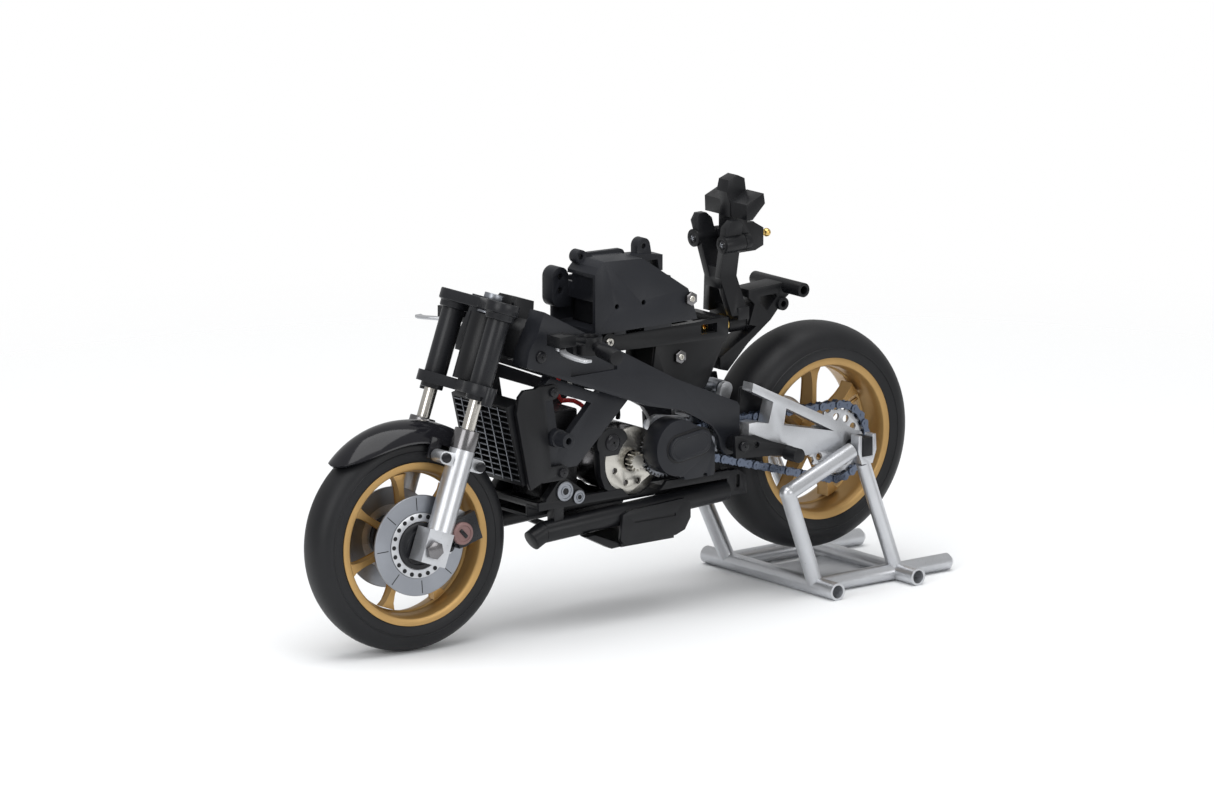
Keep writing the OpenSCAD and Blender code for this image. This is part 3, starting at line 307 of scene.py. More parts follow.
def soften(piece, width, segments=2, angle=30):
    """Rounds a piece's hard edges."""
    select_only(piece)
    edge = piece.modifiers.new("rounding", "BEVEL")
    edge.width, edge.segments = width, segments
    edge.limit_method, edge.angle_limit = "ANGLE", math.radians(angle)
    edge.miter_outer = "MITER_ARC" if segments > 2 else "MITER_SHARP"
    bpy.ops.object.modifier_apply(modifier=edge.name)


def spoke(name, hub, barrel, depth):
    """One spoke along +X, its ribs on both faces."""
    length = barrel - hub
    beam = add_primitive("cube", name, size=1, location=((hub + barrel) / 2000, 0, 0))
    beam.scale = (length / 1000, depth / 1000, 0.0036)
    bpy.ops.object.transform_apply(location=True, rotation=True, scale=True)
    bpy.ops.object.mode_set(mode="EDIT")
    bpy.ops.mesh.select_all(action="SELECT")
    bpy.ops.mesh.subdivide(number_cuts=5)
    bpy.ops.object.mode_set(mode="OBJECT")
    for vertex in beam.data.vertices:
        along = (vertex.co.x * 1000 - hub) / length
        waist = 0.25 * math.sin(math.pi * min(1.0, along * 1.1))
        vertex.co.z *= 1.05 - waist + 1.1 * max(0.0, along - 0.66) ** 2 * 9
        vertex.co.y *= 1.0 - 0.18 * along
    for face in beam.data.polygons:
        face.select = abs(face.normal.y) > 0.7 and abs(face.center.z) < 0.0011
    bpy.ops.object.mode_set(mode="EDIT")
    bpy.ops.mesh.select_mode(type="FACE")
    bpy.ops.mesh.inset(thickness=0.00035, depth=-0.0009, use_even_offset=True)
    bpy.ops.mesh.select_mode(type="VERT")
    bpy.ops.object.mode_set(mode="OBJECT")
    soften(beam, 0.00028, 2, 40)
    return beam


def cast_rim(name, radius, half, hub_half, phase, spoke_depth):
    """A rim on the Y axis, in mm, with its first spoke at the phase in degrees."""
    lip = [(radius, half), (radius - 0.5, half + 0.05), (radius - 2.2, half + 0.02),
           (radius - 2.6, half - 0.3), (radius - 3.3, half - 2.4), (radius - 3.5, half - 3.2),
           (radius - 3.7, 0.9), (radius - 4.3, 0.5)]
    barrel = lip + [(r, -y) for r, y in reversed(lip)] + [(radius, half)]
    hub = [(7.0, hub_half - 1.0), (6.2, hub_half), (2.1, hub_half), (2.1, -hub_half),
           (6.2, -hub_half), (7.0, -hub_half + 1.0), (7.0, hub_half - 1.0)]
    parts = [turned(name + "_barrel", barrel, 128), turned(name + "_hub", hub, 48)]
    first = spoke(name + "_spoke", 6.6, radius - 3.7, spoke_depth)
    arms = [first] + [twin(first) for _ in range(SPOKES - 1)]
    for turn, arm in enumerate(arms):
        arm.data.transform(Matrix.Rotation(-math.radians(phase + turn * 360 / SPOKES), 4, "Y"))
    valve = add_primitive("cylinder", name + "_valve", vertices=16, radius=0.0006, depth=0.0034)
    valve.location = (0, 0, -(radius - 5.6) / 1000)
    bpy.ops.object.transform_apply(location=True)
    valve.data.transform(Matrix.Rotation(-math.radians(phase + 180 / SPOKES), 4, "Y"))
    soften(valve, 0.00015)
    return joined(name, parts + arms + [valve])


front_rim = cast_rim("front_rim_cast", radius=28.0, half=7.5, hub_half=7.5, phase=115.5,
                     spoke_depth=6.4)
settle(front_rim, "gold", "front_wheel", "front_rim", at=FRONT_WHEEL, smooth=40)
rear_rim = cast_rim("rear_rim_cast", radius=28.5, half=10.5, hub_half=11.0, phase=87.5,
                    spoke_depth=9.0)
settle(rear_rim, "gold", "rear_wheel", "rear_rim", at=REAR_WHEEL, smooth=40)

# Front hub caps: stepped black plastic discs between each brake disc and the fork leg.
caps = []
for side in (-1, 1):
    steps = [(2.1, 7.4), (8.0, 7.4), (8.05, 10.4), (7.7, 10.6), (6.6, 10.6), (6.4, 10.2),
             (5.2, 10.2), (5.0, 10.5), (3.6, 10.5), (3.4, 10.25), (2.1, 10.25), (2.1, 7.4)]
    caps.append(turned(f"cap_{side + 1}", [(r, side * y) for r, y in steps], 64))
settle(joined("front_hub_caps", caps), "fork_black", "front_wheel", at=FRONT_WHEEL,
       smooth=30)

# Front discs: ground steel rings with radial expansion slots, riveted to a pale alloy carrier
# that has a row of round holes. The holes and slots are not cut: thin dark pieces stand in them
# as painted shade.
def block(name, lengths, rounding=0.0, segments=2):
    """A block of three lengths in metres, with rounded edges where a rounding is given."""
    piece = add_primitive("cube", name, size=1)
    piece.scale = lengths
    bpy.ops.object.transform_apply(scale=True)
    if rounding:
        soften(piece, rounding, segments)
    return piece


TO_Y_AXIS = Matrix.Rotation(math.pi / 2, 4, "X")
DISC_FACE = 9.1
HOLES, HOLE_CIRCLE = 20, 0.0101
SLOTS, SLOT_MIDDLE = 8, 0.0143
rings, carriers, hole_shades = [], [], []
for side in (-1, 1):
    ring = [(11.3, DISC_FACE + 0.05), (17.1, DISC_FACE + 0.05), (17.3, DISC_FACE + 0.2),
            (17.3, DISC_FACE + 0.85), (17.1, DISC_FACE + 1.0), (11.3, DISC_FACE + 1.0),
            (11.2, DISC_FACE + 0.85), (11.2, DISC_FACE + 0.2), (11.3, DISC_FACE + 0.05)]
    rings.append(turned(f"blank_{side + 1}", [(r, side * y) for r, y in ring], 128))
    carrier = [(8.2, DISC_FACE + 0.3), (11.15, DISC_FACE + 0.3), (11.15, DISC_FACE + 1.25),
               (10.9, DISC_FACE + 1.35), (8.4, DISC_FACE + 1.35), (8.2, DISC_FACE + 1.2),
               (8.2, DISC_FACE + 0.3)]
    carriers.append(turned(f"carrier_{side + 1}", [(r, side * y) for r, y in carrier], 96))
    for turn in range(HOLES):
        angle = math.tau * turn / HOLES
        hole = add_primitive("cylinder", "hole", vertices=12, radius=0.00078, depth=0.0004)
        middle = (HOLE_CIRCLE * math.cos(angle), side * (DISC_FACE + 1.25) / 1000,
                  HOLE_CIRCLE * math.sin(angle))
        hole.data.transform(Matrix.Translation(middle) @ TO_Y_AXIS)
        hole_shades.append(hole)
    for turn in range(SLOTS):
        angle = math.tau * (turn + 0.5) / SLOTS
        slot = block("slot", (0.0044, 0.00012, 0.00028))
        middle = (SLOT_MIDDLE, side * (DISC_FACE + 1.0) / 1000, 0)
        slot.data.transform(Matrix.Rotation(-angle, 4, "Y") @ Matrix.Translation(middle))
        hole_shades.append(slot)
settle(joined("front_disc_rings", rings), "steel", "front_wheel", "front_discs",
       at=FRONT_WHEEL, smooth=30)
settle(joined("front_disc_carriers", carriers), "satin_silver", "front_wheel", at=FRONT_WHEEL,
       smooth=30)
# The dark pieces in the holes and slots are painted shade.
settle(joined("front_disc_hole_shade", hole_shades), "dark_plastic", "front_wheel", at=FRONT_WHEEL, smooth=30)


# ---- Drive chain ----
# A blued steel roller chain: pairs of waisted side plates on pins, outer and inner by turns. Its
# pins lie on the pitch circles of both sprockets. It is one loop, and it doesn't run round.
CHAIN_PITCH, SMALL_TEETH, LARGE_TEETH = 3.75, 9, 22
CHAIN_Y = -0.0154


def round_point(centre, radius, angle):
    return centre + radius * Vector((math.cos(angle), 0, math.sin(angle)))


def chain_path():
    """Pin places round the two sprockets at even steps, as two straight runs and two arcs."""
    front, rear = joint_place("output_spin"), joint_place("rear_wheel_spin")
    r0 = CHAIN_PITCH / (2 * math.sin(math.pi / SMALL_TEETH)) / 1000
    r1 = CHAIN_PITCH / (2 * math.sin(math.pi / LARGE_TEETH)) / 1000
    run = Vector((rear.x - front.x, 0, rear.z - front.z))
    lean = math.atan2(run.z, run.x)
    wrap = math.acos((r0 - r1) / run.length)
    straight = math.sqrt(run.length ** 2 - (r0 - r1) ** 2)
    lengths = [straight, 2 * wrap * r1, straight, 2 * (math.pi - wrap) * r0]
    count = round(sum(lengths) / CHAIN_PITCH * 1000 / 2) * 2
    places = []
    for number in range(count):
        left, stretch = sum(lengths) * number / count, 0
        while stretch < 3 and left >= lengths[stretch]:
            left -= lengths[stretch]
            stretch += 1
        if stretch in (0, 2):
            starts = (front, r0, lean + wrap), (rear, r1, lean - wrap)
            centre, radius, angle = starts[stretch // 2]
            heading = round_point(Vector(), 1, angle - math.pi / 2)
            places.append(round_point(centre, radius, angle) + heading * left)
        elif stretch == 1:
            places.append(round_point(rear, r1, lean + wrap - left / r1))
        else:
            places.append(round_point(front, r0, lean - wrap - left / r0))
    return places


def side_plate(name, y, gap, thick):
    """A plate with two round ends and a waist, from pin to pin along +X."""
    plate = add_primitive("circle", name, vertices=20, radius=0.00155, fill_type="NGON",
                          rotation=(math.pi / 2, 0, 0))
    bpy.ops.object.transform_apply(rotation=True)
    for vertex in plate.data.vertices:
        side = 1 if vertex.co.x > 0.0001 else -1 if vertex.co.x < -0.0001 else 0
        if side == 0:
            vertex.co.z *= 0.62
        vertex.co.x += side * gap / 2
    bpy.ops.object.mode_set(mode="EDIT")
    bpy.ops.mesh.select_all(action="SELECT")
    bpy.ops.mesh.extrude_region_move(TRANSFORM_OT_translate={"value": (0, thick, 0)})
    leave_facing_out()
    plate.data.transform(Matrix.Translation((0, y, 0)))
    return plate


places = chain_path()
gap = (places[1] - places[0]).length
PLATE = 0.0004
outer, inner = [joined(name, [side_plate("plate", y, gap, PLATE) for y in sides])
                for name, sides in (("outer_link", (-0.00165, 0.00125)),
                                    ("inner_link", (-0.0012, 0.0008)))]
links = []
for number, here in enumerate(places):
    ahead = places[(number + 1) % len(places)]
    middle = (here + ahead) / 2
    lean = math.atan2((ahead - here).z, (ahead - here).x)
    link = twin(inner if number % 2 else outer)
    link.data.transform(Matrix.Translation((middle.x, CHAIN_Y, middle.z))
                        @ Matrix.Rotation(-lean, 4, "Y"))
    links.append(link)
    for name, radius, depth in (("pin", 0.0005, 0.0036), ("roller", 0.0009, 0.0016)):
        pin = add_primitive("cylinder", name, vertices=12, radius=radius, depth=depth)
        pin.data.transform(Matrix.Translation((here.x, CHAIN_Y, here.z)) @ TO_Y_AXIS)
        links.append(pin)
bpy.data.objects.remove(outer)
bpy.data.objects.remove(inner)
settle(joined("roller_chain", links), "chain_steel", "swingarm", "chain", smooth=30)


# ---- Moulded and cast parts ----
# The frame, case, box, arms and castings are as drawn, with the small radius on every edge that
# a mould or a deburring leaves. Each is taken from its solid and keeps its place.
def free_copy(node):
    """A copy of a drawn solid that stands alone, its doubled points merged, in edit mode."""
    piece = twin(frame["nodes"][node])
    piece.parent = None
    piece.matrix_world = Matrix.Identity(4)
    for key in list(piece.keys()):
        if key.startswith("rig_"):
            del piece[key]
    select_only(piece)
    bpy.ops.object.mode_set(mode="EDIT")
    bpy.ops.mesh.select_all(action="SELECT")
    bpy.ops.mesh.remove_doubles(threshold=0.000001)
    return piece


def with_round_edges(node, body, width, angle=35):
    """A drawn solid with its hard edges rounded by a width in mm."""
    piece = free_copy(node)
    piece.name = piece.data.name = node + "_finished"
    bpy.ops.mesh.dissolve_limited(angle_limit=math.radians(1))
    bpy.ops.object.mode_set(mode="OBJECT")
    soften(piece, width / 1000, 2, angle)
    return settle(piece, slot_of[node], body, node, smooth=35)


# Each rounding is in mm, by the body that the piece moves with.
ROUND_EDGES = {
    "steering": {"upper_clamp": 0.45, "lower_clamp": 0.45, "fork_sleeves": 0.3,
                 "steering_stem": 0.2, "inner_tubes": 0.1},
    "fork_lower": {"fork_screws": 0.12, "slider_left": 0.35, "slider_right": 0.35,
                   "front_calipers": 0.4, "front_axle": 0.2},
    "chassis": {"frame_left": 0.4, "frame_right": 0.4, "head_block": 0.35, "side_braces": 0.3,
                "radiator_shrouds": 0.3, "lower_case": 0.2, "gear_cover": 0.35, "motor": 0.3,
                "motor_plate": 0.15, "belly_pipes": 0.2, "skid_bracket": 0.25, "subframe": 0.25,
                "servo_box": 0.3, "controller": 0.4, "tail_bar": 0.35, "handlebar_left": 0.3,
                "handlebar_right": 0.3, "footpegs": 0.3, "battery": 0.8, "pivot_bush": 0.15},
    "rider": {"rider_arms": 0.4, "rider_head": 0.4},
    "swingarm": {"swingarm": 0.35, "splash_guard": 0.25, "rear_caliper": 0.4, "stand_spools": 0.3},
    "rear_wheel": {"rear_sprocket": 0.12},
    "stand": {"stand": 0.3},
}
OTHER_SKINS = {"fork_screws": "gloss_black", "front_axle": "dark_chrome", "motor": "dark_chrome"}
for body, nodes in ROUND_EDGES.items():
    for node, width in nodes.items():
        piece = with_round_edges(node, body, width)
        if node in OTHER_SKINS:
            piece.data.materials[0] = FINISHES[OTHER_SKINS[node]]

# The fork springs stand in the sliders. Their lower ends stay seated, and they move with the
# sliders.
LEG_X, LEG_Y, SPRING_FOOT = 0.0032, 0.015, 0.00305
springs = with_round_edges("fork_springs", "fork_lower", 0.02)
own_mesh(springs)


# ---- Screws, nuts and bearings ----
# Black cross-head screws hold the plates, hex nuts with bright bolt ends clamp the box and the
# subframe, and ball bearings with bright rings stand in the case's front corner. Dark bars on each
# screw head and a dark hexagon in each bearing's bore are painted shade for the recesses there.
REAR_AXLE_DRAWN = 87.5
SHIFT = joint_place("rear_wheel_spin").x * 1000 - REAR_AXLE_DRAWN


def on_side(piece, x, y, z):
    """Moves a piece modelled on the Y axis to its place, in mm on the drawing."""
    piece.data.transform(Matrix.Translation(((x + SHIFT) / 1000, y / 1000, z / 1000)))
    return piece


def capped(name, side, outline, steps=24):
    """A turned piece closed on the axis, facing left (-1) or right (1)."""
    return turned(name, [(max(r, 0.002), side * h) for r, h in outline], steps)


def recess_shade_bars(x, y, z, radius, tilt):
    """The two dark bars of painted shade that stand for a cross-head recess."""
    bars = []
    for turn in (tilt, tilt + 90):
        bar = block("bar", (radius * 0.0011, 0.0003, radius * 0.00027), radius * 0.00003, 1)
        bar.data.transform(Matrix.Rotation(math.radians(turn), 4, "Y"))
        bars.append(on_side(bar, x, y, z))
    return bars


heads, recess_shades, bright, nuts, rings = [], [], [], [], []
for side in (-1, 1):
    for x, y, z, radius, height in ((-45.3, 20.0, 99, 2.1, 1.0), (-38, 17.6, 85.5, 1.7, 0.9),
                                    (-34, 17.6, 57, 1.7, 0.9), (-11, 15.7, 64, 3.0, 0.9),
                                    (38, 26.3, 57.6, 1.8, 0.9)):
        dome = [(0, 0), (radius, 0), (radius, height * 0.5), (radius * 0.9, height * 0.85),
                (radius * 0.6, height), (0, height)]
        heads.append(on_side(capped("head", side, dome), x, side * y, z))
        recess_shades += recess_shade_bars(x, side * (y + height - 0.1), z, radius, 25 + 40 * (radius > 2))
    boss = [(0, 0), (1.55, 0), (1.55, 5.2), (1.3, 5.6), (0, 5.6)]
    bright.append(on_side(capped("boss", side, boss), -9, side * 6.6, 98))
    recess_shades += recess_shade_bars(-9, side * 12.15, 98, 1.4, 30)
    for x, y, z in ((25.2, 12.5, 109), (24, 8.0, 88)):
        nut = add_primitive("cylinder", "nut", vertices=6, radius=0.0025, depth=0.0013)
        nut.data.transform(TO_Y_AXIS)
        soften(nut, 0.0002, 2)
        nuts.append(on_side(nut, x, side * (y + 0.66), z))
        bolt = [(0, 0), (1.15, 0), (1.15, 1.5), (0.95, 1.75), (0.5, 1.75), (0.4, 1.4), (0, 1.4)]
        bright.append(on_side(capped("bolt", side, bolt), x, side * y, z))
    for x, z, radius in ((-32, 50, 3.4), (-26, 47.2, 2.4)):
        race = [(radius, 0), (radius, 0.7), (radius - 0.3, 0.9), (radius - 0.8, 0.9),
                (radius - 0.95, 0.6), (radius * 0.52, 0.6), (radius * 0.5, 0.85),
                (radius * 0.36, 0.85), (radius * 0.34, 0.3), (0, 0.3)]
        rings.append(on_side(capped("race", side, race, 32), x, side * 15.9, z))
        # A dark hexagon in the bearing's bore, as painted shade.
        core = add_primitive("cylinder", "core", vertices=6, radius=radius * 0.00034, depth=0.0006)
        core.data.transform(TO_Y_AXIS)
        recess_shades.append(on_side(core, x, side * 16.3, z))
settle(joined("frame_screws", heads), "gloss_black", "chassis", "frame_fasteners", smooth=40)
# Painted shade: dark bars for the cross recesses and dark hexagons for the bearings' bores.
settle(joined("screw_recess_shade", recess_shades), "dark_plastic", "chassis", smooth=30)
settle(joined("hex_nuts", nuts), "dark_chrome", "chassis", smooth=30)
settle(joined("bolt_ends", bright), "nickel", "chassis", smooth=30)
settle(joined("case_bearings", rings), "steel", "chassis", smooth=30)


# ---- Motor leads ----
# Three insulated leads, red, white and black, run from the motor up into the box. Their ends are
# soldered and clamped, so they don't hang free.
free_copy("motor_wires")
bpy.ops.mesh.separate(type="LOOSE")
bpy.ops.object.mode_set(mode="OBJECT")
three = sorted(bpy.context.selected_objects,
               key=lambda lead: -max(vertex.co.y for vertex in lead.data.vertices))
for number, (lead, tone) in enumerate(zip(three, ("wire", "white_plastic", "dark_plastic"))):
    lead.name = lead.data.name = "motor_lead_" + tone
    settle(lead, tone, "chassis", *(("motor_wires",) if number == 0 else ()), smooth=60)


# ---- Levers ----
# Each lever is a flat polished casting with a swept blade and a rounded tip. Its eye stands on
# the pivot, and the blade is drawn out from it in steps.
BLADE_STEPS = ((-0.0022, 0.003, 0.0001), (-0.0018, 0.003, 0), (-0.0002, 0.0034, -0.0004),
               (0.0008, 0.0034, -0.0005), (0.0014, 0.003, -0.0004), (0.0004, 0.0008, 0))
for side, body, joint in ((-1, "clutch_lever", "clutch_pull"), (1, "brake_lever", "brake_pull")):
    blade = add_primitive("cube", "blade", size=1, location=(0, 0.0005, 0))
    blade.scale = (0.0028, 0.001, 0.0011)
    bpy.ops.object.transform_apply(location=True, scale=True)
    for push in BLADE_STEPS:
        bpy.ops.object.mode_set(mode="OBJECT")
        far = max(v.co.y for v in blade.data.vertices)
        for face in blade.data.polygons:
            face.select = abs(face.center.y - far) < 0.0001
        for edge in blade.data.edges:
            edge.select = False
        for vertex in blade.data.vertices:
            vertex.select = abs(vertex.co.y - far) < 0.0001
        bpy.ops.object.mode_set(mode="EDIT")
        bpy.ops.mesh.extrude_region_move(TRANSFORM_OT_translate={"value": push})
    bpy.ops.object.mode_set(mode="OBJECT")
    soften(blade, 0.0003, 2, 25)
    eye = add_primitive("cylinder", "eye", vertices=24, radius=0.0018, depth=0.0013)
    soften(eye, 0.0002, 2)
    lever = joined(body + "_cast", [blade, eye])
    lever.data.transform(Matrix.Scale(side, 4, (0, 1, 0)))
    bpy.ops.object.mode_set(mode="EDIT")
    leave_facing_out()
    settle(lever, "satin_silver", body, body,
           at=Matrix.Translation(joint_place(joint) + Vector((0, 0, 0.0005))))


# ---- Radiator core ----
# Thin pale fins lie across the dark core, one above the other down its slope. Five upright ribs
# cross them, and all are flush in its frame.
RADIATOR_TOP, RADIATOR_LOW = (-56.3, 82.3), (-49.5, 54.0)
CORE_FINS, RIB_STEP, CORE_ROUNDING = 13, 5, 0.00008
CORE_MIDDLE = (-52.75, 68.3)
core_run, core_drop = RADIATOR_LOW[0] - RADIATOR_TOP[0], RADIATOR_TOP[1] - RADIATOR_LOW[1]
lean = math.atan2(core_run, core_drop)
fins = []
for number in range(CORE_FINS):
    part = (number + 0.8) / (CORE_FINS + 0.6)
    fin = block("fin", (0.0009, 0.0288, 0.00032), CORE_ROUNDING, 1)
    fins.append(on_side(fin, RADIATOR_TOP[0] + core_run * part + 0.35, 0,
                        RADIATOR_TOP[1] - core_drop * part))
for number in range(-2, 3):
    rib = block("rib", (0.0009, 0.0004, 0.0272), CORE_ROUNDING, 1)
    rib.data.transform(Matrix.Rotation(-lean, 4, "Y"))
    fins.append(on_side(rib, CORE_MIDDLE[0], number * RIB_STEP, CORE_MIDDLE[1]))
settle(joined("radiator_fins", fins), "steel", "chassis", smooth=30)


# ---- Front caliper caps ----
# Each front caliper carries a round pressed cap of a dull red brown, with a raised black bar
# across its middle.
CAP_X, CAP_Y, CAP_Z, CAP_BAR_Y = 0.0106, 0.01695, 0.0079, 0.0183
caps, bars = [], []
for side in (-1, 1):
    dish = [(0, 0), (3.9, 0), (3.9, 1.0), (3.6, 1.4), (2.9, 1.5), (2.75, 1.2), (0, 1.2)]
    cap = capped("cap", side, dish, 32)
    cap.data.transform(Matrix.Translation((CAP_X, side * CAP_Y, CAP_Z)))
    caps.append(cap)
    bar = block("bar", (0.0036, 0.0007, 0.0013), 0.0002)
    bar.data.transform(Matrix.Translation((CAP_X, side * CAP_BAR_Y, CAP_Z))
                       @ Matrix.Rotation(0.5, 4, "Y"))
    bars.append(bar)
FINISHES["badge"] = cast_metal("badge", (0.20, 0.115, 0.11), 0.42, 0.1, 0.2)
badge = settle(joined("caliper_caps", caps), "badge", "fork_lower", at=FRONT_WHEEL, smooth=30)
settle(joined("caliper_bars", bars), "gloss_black", "fork_lower", at=FRONT_WHEEL, smooth=30)

# Slider collars: short polished dark sleeves on top of the sliders, with a rolled top edge.
collars = []
for side in (-1, 1):
    sleeve = [(2.6, 35.1), (4.5, 35.1), (4.5, 41.6), (4.35, 42.0), (4.0, 42.1), (2.9, 42.1),
              (2.6, 41.9), (2.6, 35.1)]
    collar = turned("collar", sleeve, 64)
    collar.data.transform(Matrix.Translation((LEG_X, side * LEG_Y, 0)) @ TO_Y_AXIS)
    collars.append(collar)
settle(joined("polished_collars", collars), "dark_chrome", "fork_lower", "slider_collars",
       at=FRONT_WHEEL, smooth=30)


# ---- Gear cover's pill ----
# A blank raised pill stands on the cover, moulded with it, in a shallow pocket. The pocket is
# drawn as a low disc in darker plastic, which is painted shade. The pill has a rim round its sunk
# face, and both lie along the cover's slope.
PILL_HALF, PILL_TILT, PILL_X, PILL_Y, PILL_Z = 0.0047, 8, 18.4, -0.0207, 0.0599
# The first, darker disc is painted shade for the pocket round the pill.
for name, radius, lift, tone in (("cover_ring", 0.0052, 0.00035, "dark_plastic"),
                                 ("cover_pill", 0.0043, 0.0013, "frame_plastic")):
    pill = add_primitive("circle", name, vertices=48, radius=radius, fill_type="NGON",
                         rotation=(math.pi / 2, 0, 0))
    bpy.ops.object.transform_apply(rotation=True)
    for vertex in pill.data.vertices:
        vertex.co.x += PILL_HALF if vertex.co.x > 0 else -PILL_HALF
    bpy.ops.object.mode_set(mode="EDIT")
    bpy.ops.mesh.select_all(action="SELECT")
    bpy.ops.mesh.extrude_region_move(TRANSFORM_OT_translate={"value": (0, -lift, 0)})
    bpy.ops.mesh.select_mode(type="FACE")
    if name == "cover_pill":
        bpy.ops.mesh.inset(thickness=0.0004, depth=0.0002)
        bpy.ops.mesh.inset(thickness=0.0006, depth=0.0)
        bpy.ops.mesh.inset(thickness=0.0002, depth=-0.0003)
    bpy.ops.mesh.select_mode(type="VERT")
    leave_facing_out()
    soften(pill, 0.00015, 2, 40)
    pill.data.transform(Matrix.Translation(((PILL_X + SHIFT) / 1000, PILL_Y, PILL_Z))
                        @ Matrix.Rotation(-math.radians(PILL_TILT), 4, "Y"))
    settle(pill, tone, "chassis", smooth=30)


# ---- Front fender ----
# A glossy shell, arched across and along the tyre, and drawn out to a point in front. A flat
# bracket on each side, moulded with it, is screwed to the slider's front ear. Places along the
# arch are angles round the wheel, in degrees.
EAR = (-3.8, 31.0)
FENDER_FROM, FENDER_TO, FENDER_TAPER = 80, 153.5, 116
ARCH_CENTRE, ARCH_RADIUS, ARCH_SPREAD, TIP_DROP = 31, 10.0, 69.0, 1.3
shell = add_primitive("grid", "fender_shell", x_subdivisions=56, y_subdivisions=20, size=2)
for vertex in shell.data.vertices:
    along, across = (vertex.co.x + 1) / 2, vertex.co.y
    turn = FENDER_FROM + (FENDER_TO - FENDER_FROM) * along
    narrow = max(0.0, (turn - FENDER_TAPER) / (FENDER_TO - FENDER_TAPER))
    spread = math.radians(ARCH_SPREAD * math.sqrt(max(0.0, 1 - narrow ** 2.4)) * across)
    reach = ARCH_CENTRE + ARCH_RADIUS * math.cos(spread) - TIP_DROP * narrow ** 2
    vertex.co = (reach * math.cos(math.radians(turn)) / 1000,
                 ARCH_RADIUS * math.sin(spread) / 1000,
                 reach * math.sin(math.radians(turn)) / 1000)
bpy.ops.object.mode_set(mode="EDIT")
bpy.ops.mesh.select_all(action="SELECT")
bpy.ops.mesh.remove_doubles(threshold=0.00001)
leave_facing_out()
thick = shell.modifiers.new("thickness", "SOLIDIFY")
thick.thickness, thick.offset = 0.0011, 0.0
bpy.ops.object.modifier_apply(modifier=thick.name)
soften(shell, 0.0003, 2, 60)
shell_parts = [shell]
for side in (-1, 1):
    bracket = block("bracket", (0.0046, 0.001, 0.0075), 0.0004)
    bracket.data.transform(Matrix.Translation((EAR[0] / 1000 - 0.0006, side * 0.0098,
                                               EAR[1] / 1000 + 0.002)))
    boss = turned("boss", [(r, side * y) for r, y in ((1.0, 9.6), (2.2, 9.6), (2.2, 11.15),
                                                      (1.0, 11.15), (1.0, 9.6))], 32)
    boss.data.transform(Matrix.Translation((EAR[0] / 1000, 0, EAR[1] / 1000)))
    shell_parts += [bracket, boss]
settle(joined("fender", shell_parts), "gloss_black", "fork_lower", "front_fender", at=FRONT_WHEEL,
       smooth=40)


# ---- Rider mount's screws ----
# Two black cross-head screws, one on each side, hold the head in the arms' front bosses. They
# turn with the mount.
BOSS_X, BOSS_Z = 43.9, 0.1246
boss_heads, boss_bars = [], []
for side in (-1, 1):
    head = turned("head", [(0.002, 0), (1.65, 0), (1.65, 0.9), (1.3, 1.25), (0.002, 1.3)], 24)
    where = (Matrix.Translation(((BOSS_X + SHIFT) / 1000, side * 0.008, BOSS_Z))
             @ Matrix.Rotation(math.pi / 2, 4, "Z"))
    head.data.transform(where)
    boss_heads.append(head)
    for turn in (30, 120):
        bar = block("bar", (0.0018, 0.0003, 0.0004), 0.00005, 1)
        bar.data.transform(where @ Matrix.Translation((0, 0.0013, 0))
                           @ Matrix.Rotation(math.radians(turn), 4, "Y"))
        boss_bars.append(bar)
settle(joined("mount_screws", boss_heads), "gloss_black", "rider", smooth=40)
settle(joined("mount_screw_crosses", boss_bars), "steel", "rider", smooth=30)


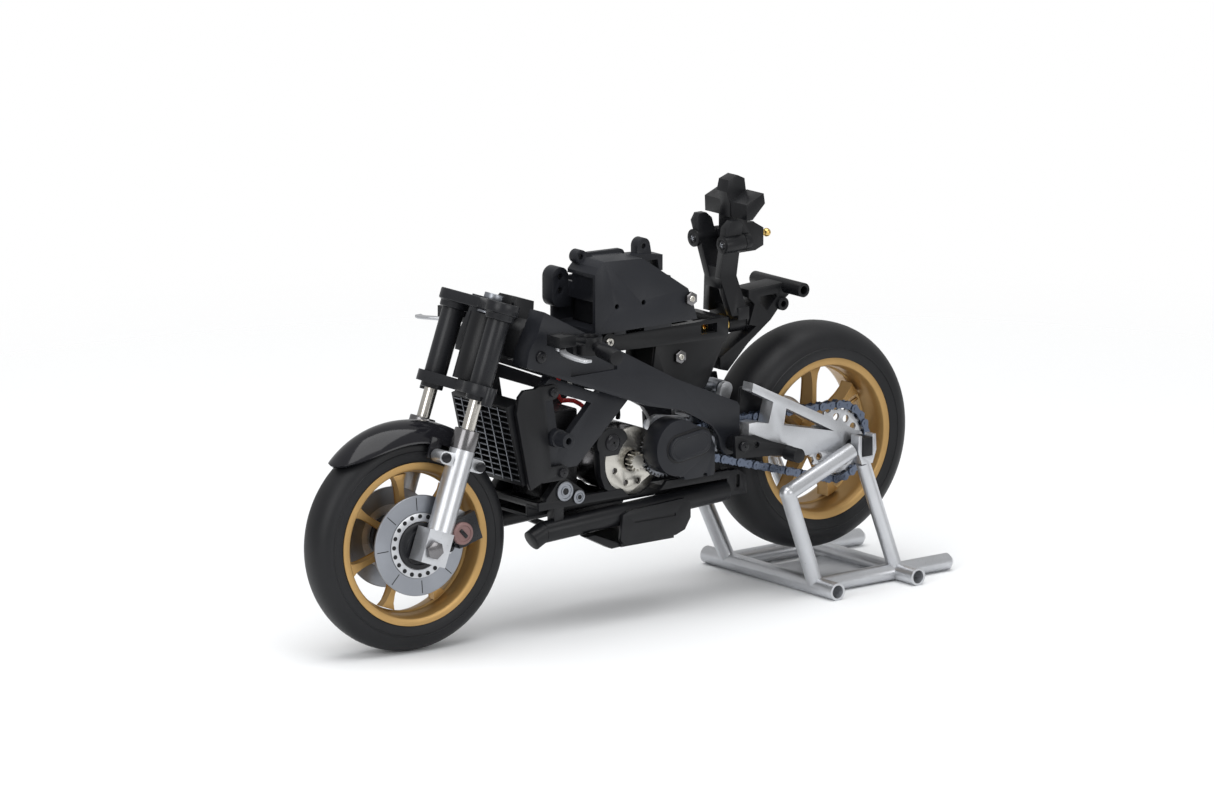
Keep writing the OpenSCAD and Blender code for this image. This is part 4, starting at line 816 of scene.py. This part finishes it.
# ---- Floor, backdrop and light ----
# The floor is one pale sheet, which fades out between 0.24 and 0.6 m from its middle, so the
# backdrop is plain white. Three softboxes light the bike from above, the left and the front.
FADE_FROM, FADE_TO = 0.24, 0.6
bpy.ops.object.select_all(action="DESELECT")
bpy.ops.mesh.primitive_circle_add(vertices=96, radius=1.1, fill_type="NGON", location=(0.03, 0, 0))
floor = bpy.context.object
floor.name = "floor"
paper = bpy.data.materials.new("paper")
paper.use_nodes = True
sheet = paper.node_tree.nodes["Principled BSDF"]
sheet.inputs["Base Color"].default_value = colour(0.86, 0.87, 0.88)
sheet.inputs["Roughness"].default_value = 0.6
sheet.inputs["Specular IOR Level"].default_value = 0.15
where = node_of(paper.node_tree, "ShaderNodeTexCoord", output="Object")
reach = node_of(paper.node_tree, "ShaderNodeVectorMath", {"operation": "LENGTH"}, {0: where}, 1)
fade = node_of(paper.node_tree, "ShaderNodeMapRange", {"interpolation_type": "SMOOTHSTEP"},
               {"Value": reach, "From Min": FADE_FROM, "From Max": FADE_TO,
                "To Min": 1.0, "To Max": 0.0})
paper.node_tree.links.new(fade.link, sheet.inputs["Alpha"])
floor.data.materials.append(paper)

# The world is white to the camera, and about half as bright where it lights the bike.
WORLD_LIGHT, CAMERA_EXTRA = 0.55, 0.45
world = bpy.data.worlds.new("studio")
bpy.context.scene.world = world
world.use_nodes = True
sky = world.node_tree
background = sky.nodes["Background"]
rays = sky.nodes.new("ShaderNodeLightPath")
seen = node_of(sky, "ShaderNodeMath", {"operation": "MAXIMUM"},
               {0: Socket(sky, rays.outputs["Is Camera Ray"]),
                1: Socket(sky, rays.outputs["Is Transmission Ray"])})
level = seen * CAMERA_EXTRA + WORLD_LIGHT
sky.links.new(level.link, background.inputs["Strength"])
background.inputs["Color"].default_value = (1, 1, 1, 1)


def softbox(name, place, aim, width, height, power):
    bpy.ops.object.light_add(type="AREA", location=place)
    lamp = bpy.context.object
    lamp.name = name
    lamp.rotation_euler = (Vector(aim) - Vector(place)).to_track_quat("-Z", "Y").to_euler()
    lamp.data.shape = "RECTANGLE"
    lamp.data.size, lamp.data.size_y = width, height
    lamp.data.energy = power


softbox("top_box", (-0.1, -0.1, 1.3), (0, 0, 0), 1.2, 1.2, 14)
softbox("left_box", (-1.3, -0.5, 0.7), (0, 0, 0.07), 0.8, 0.9, 7)
softbox("front_box", (0.2, -1.5, 0.55), (0, 0, 0.07), 1.0, 0.6, 5)
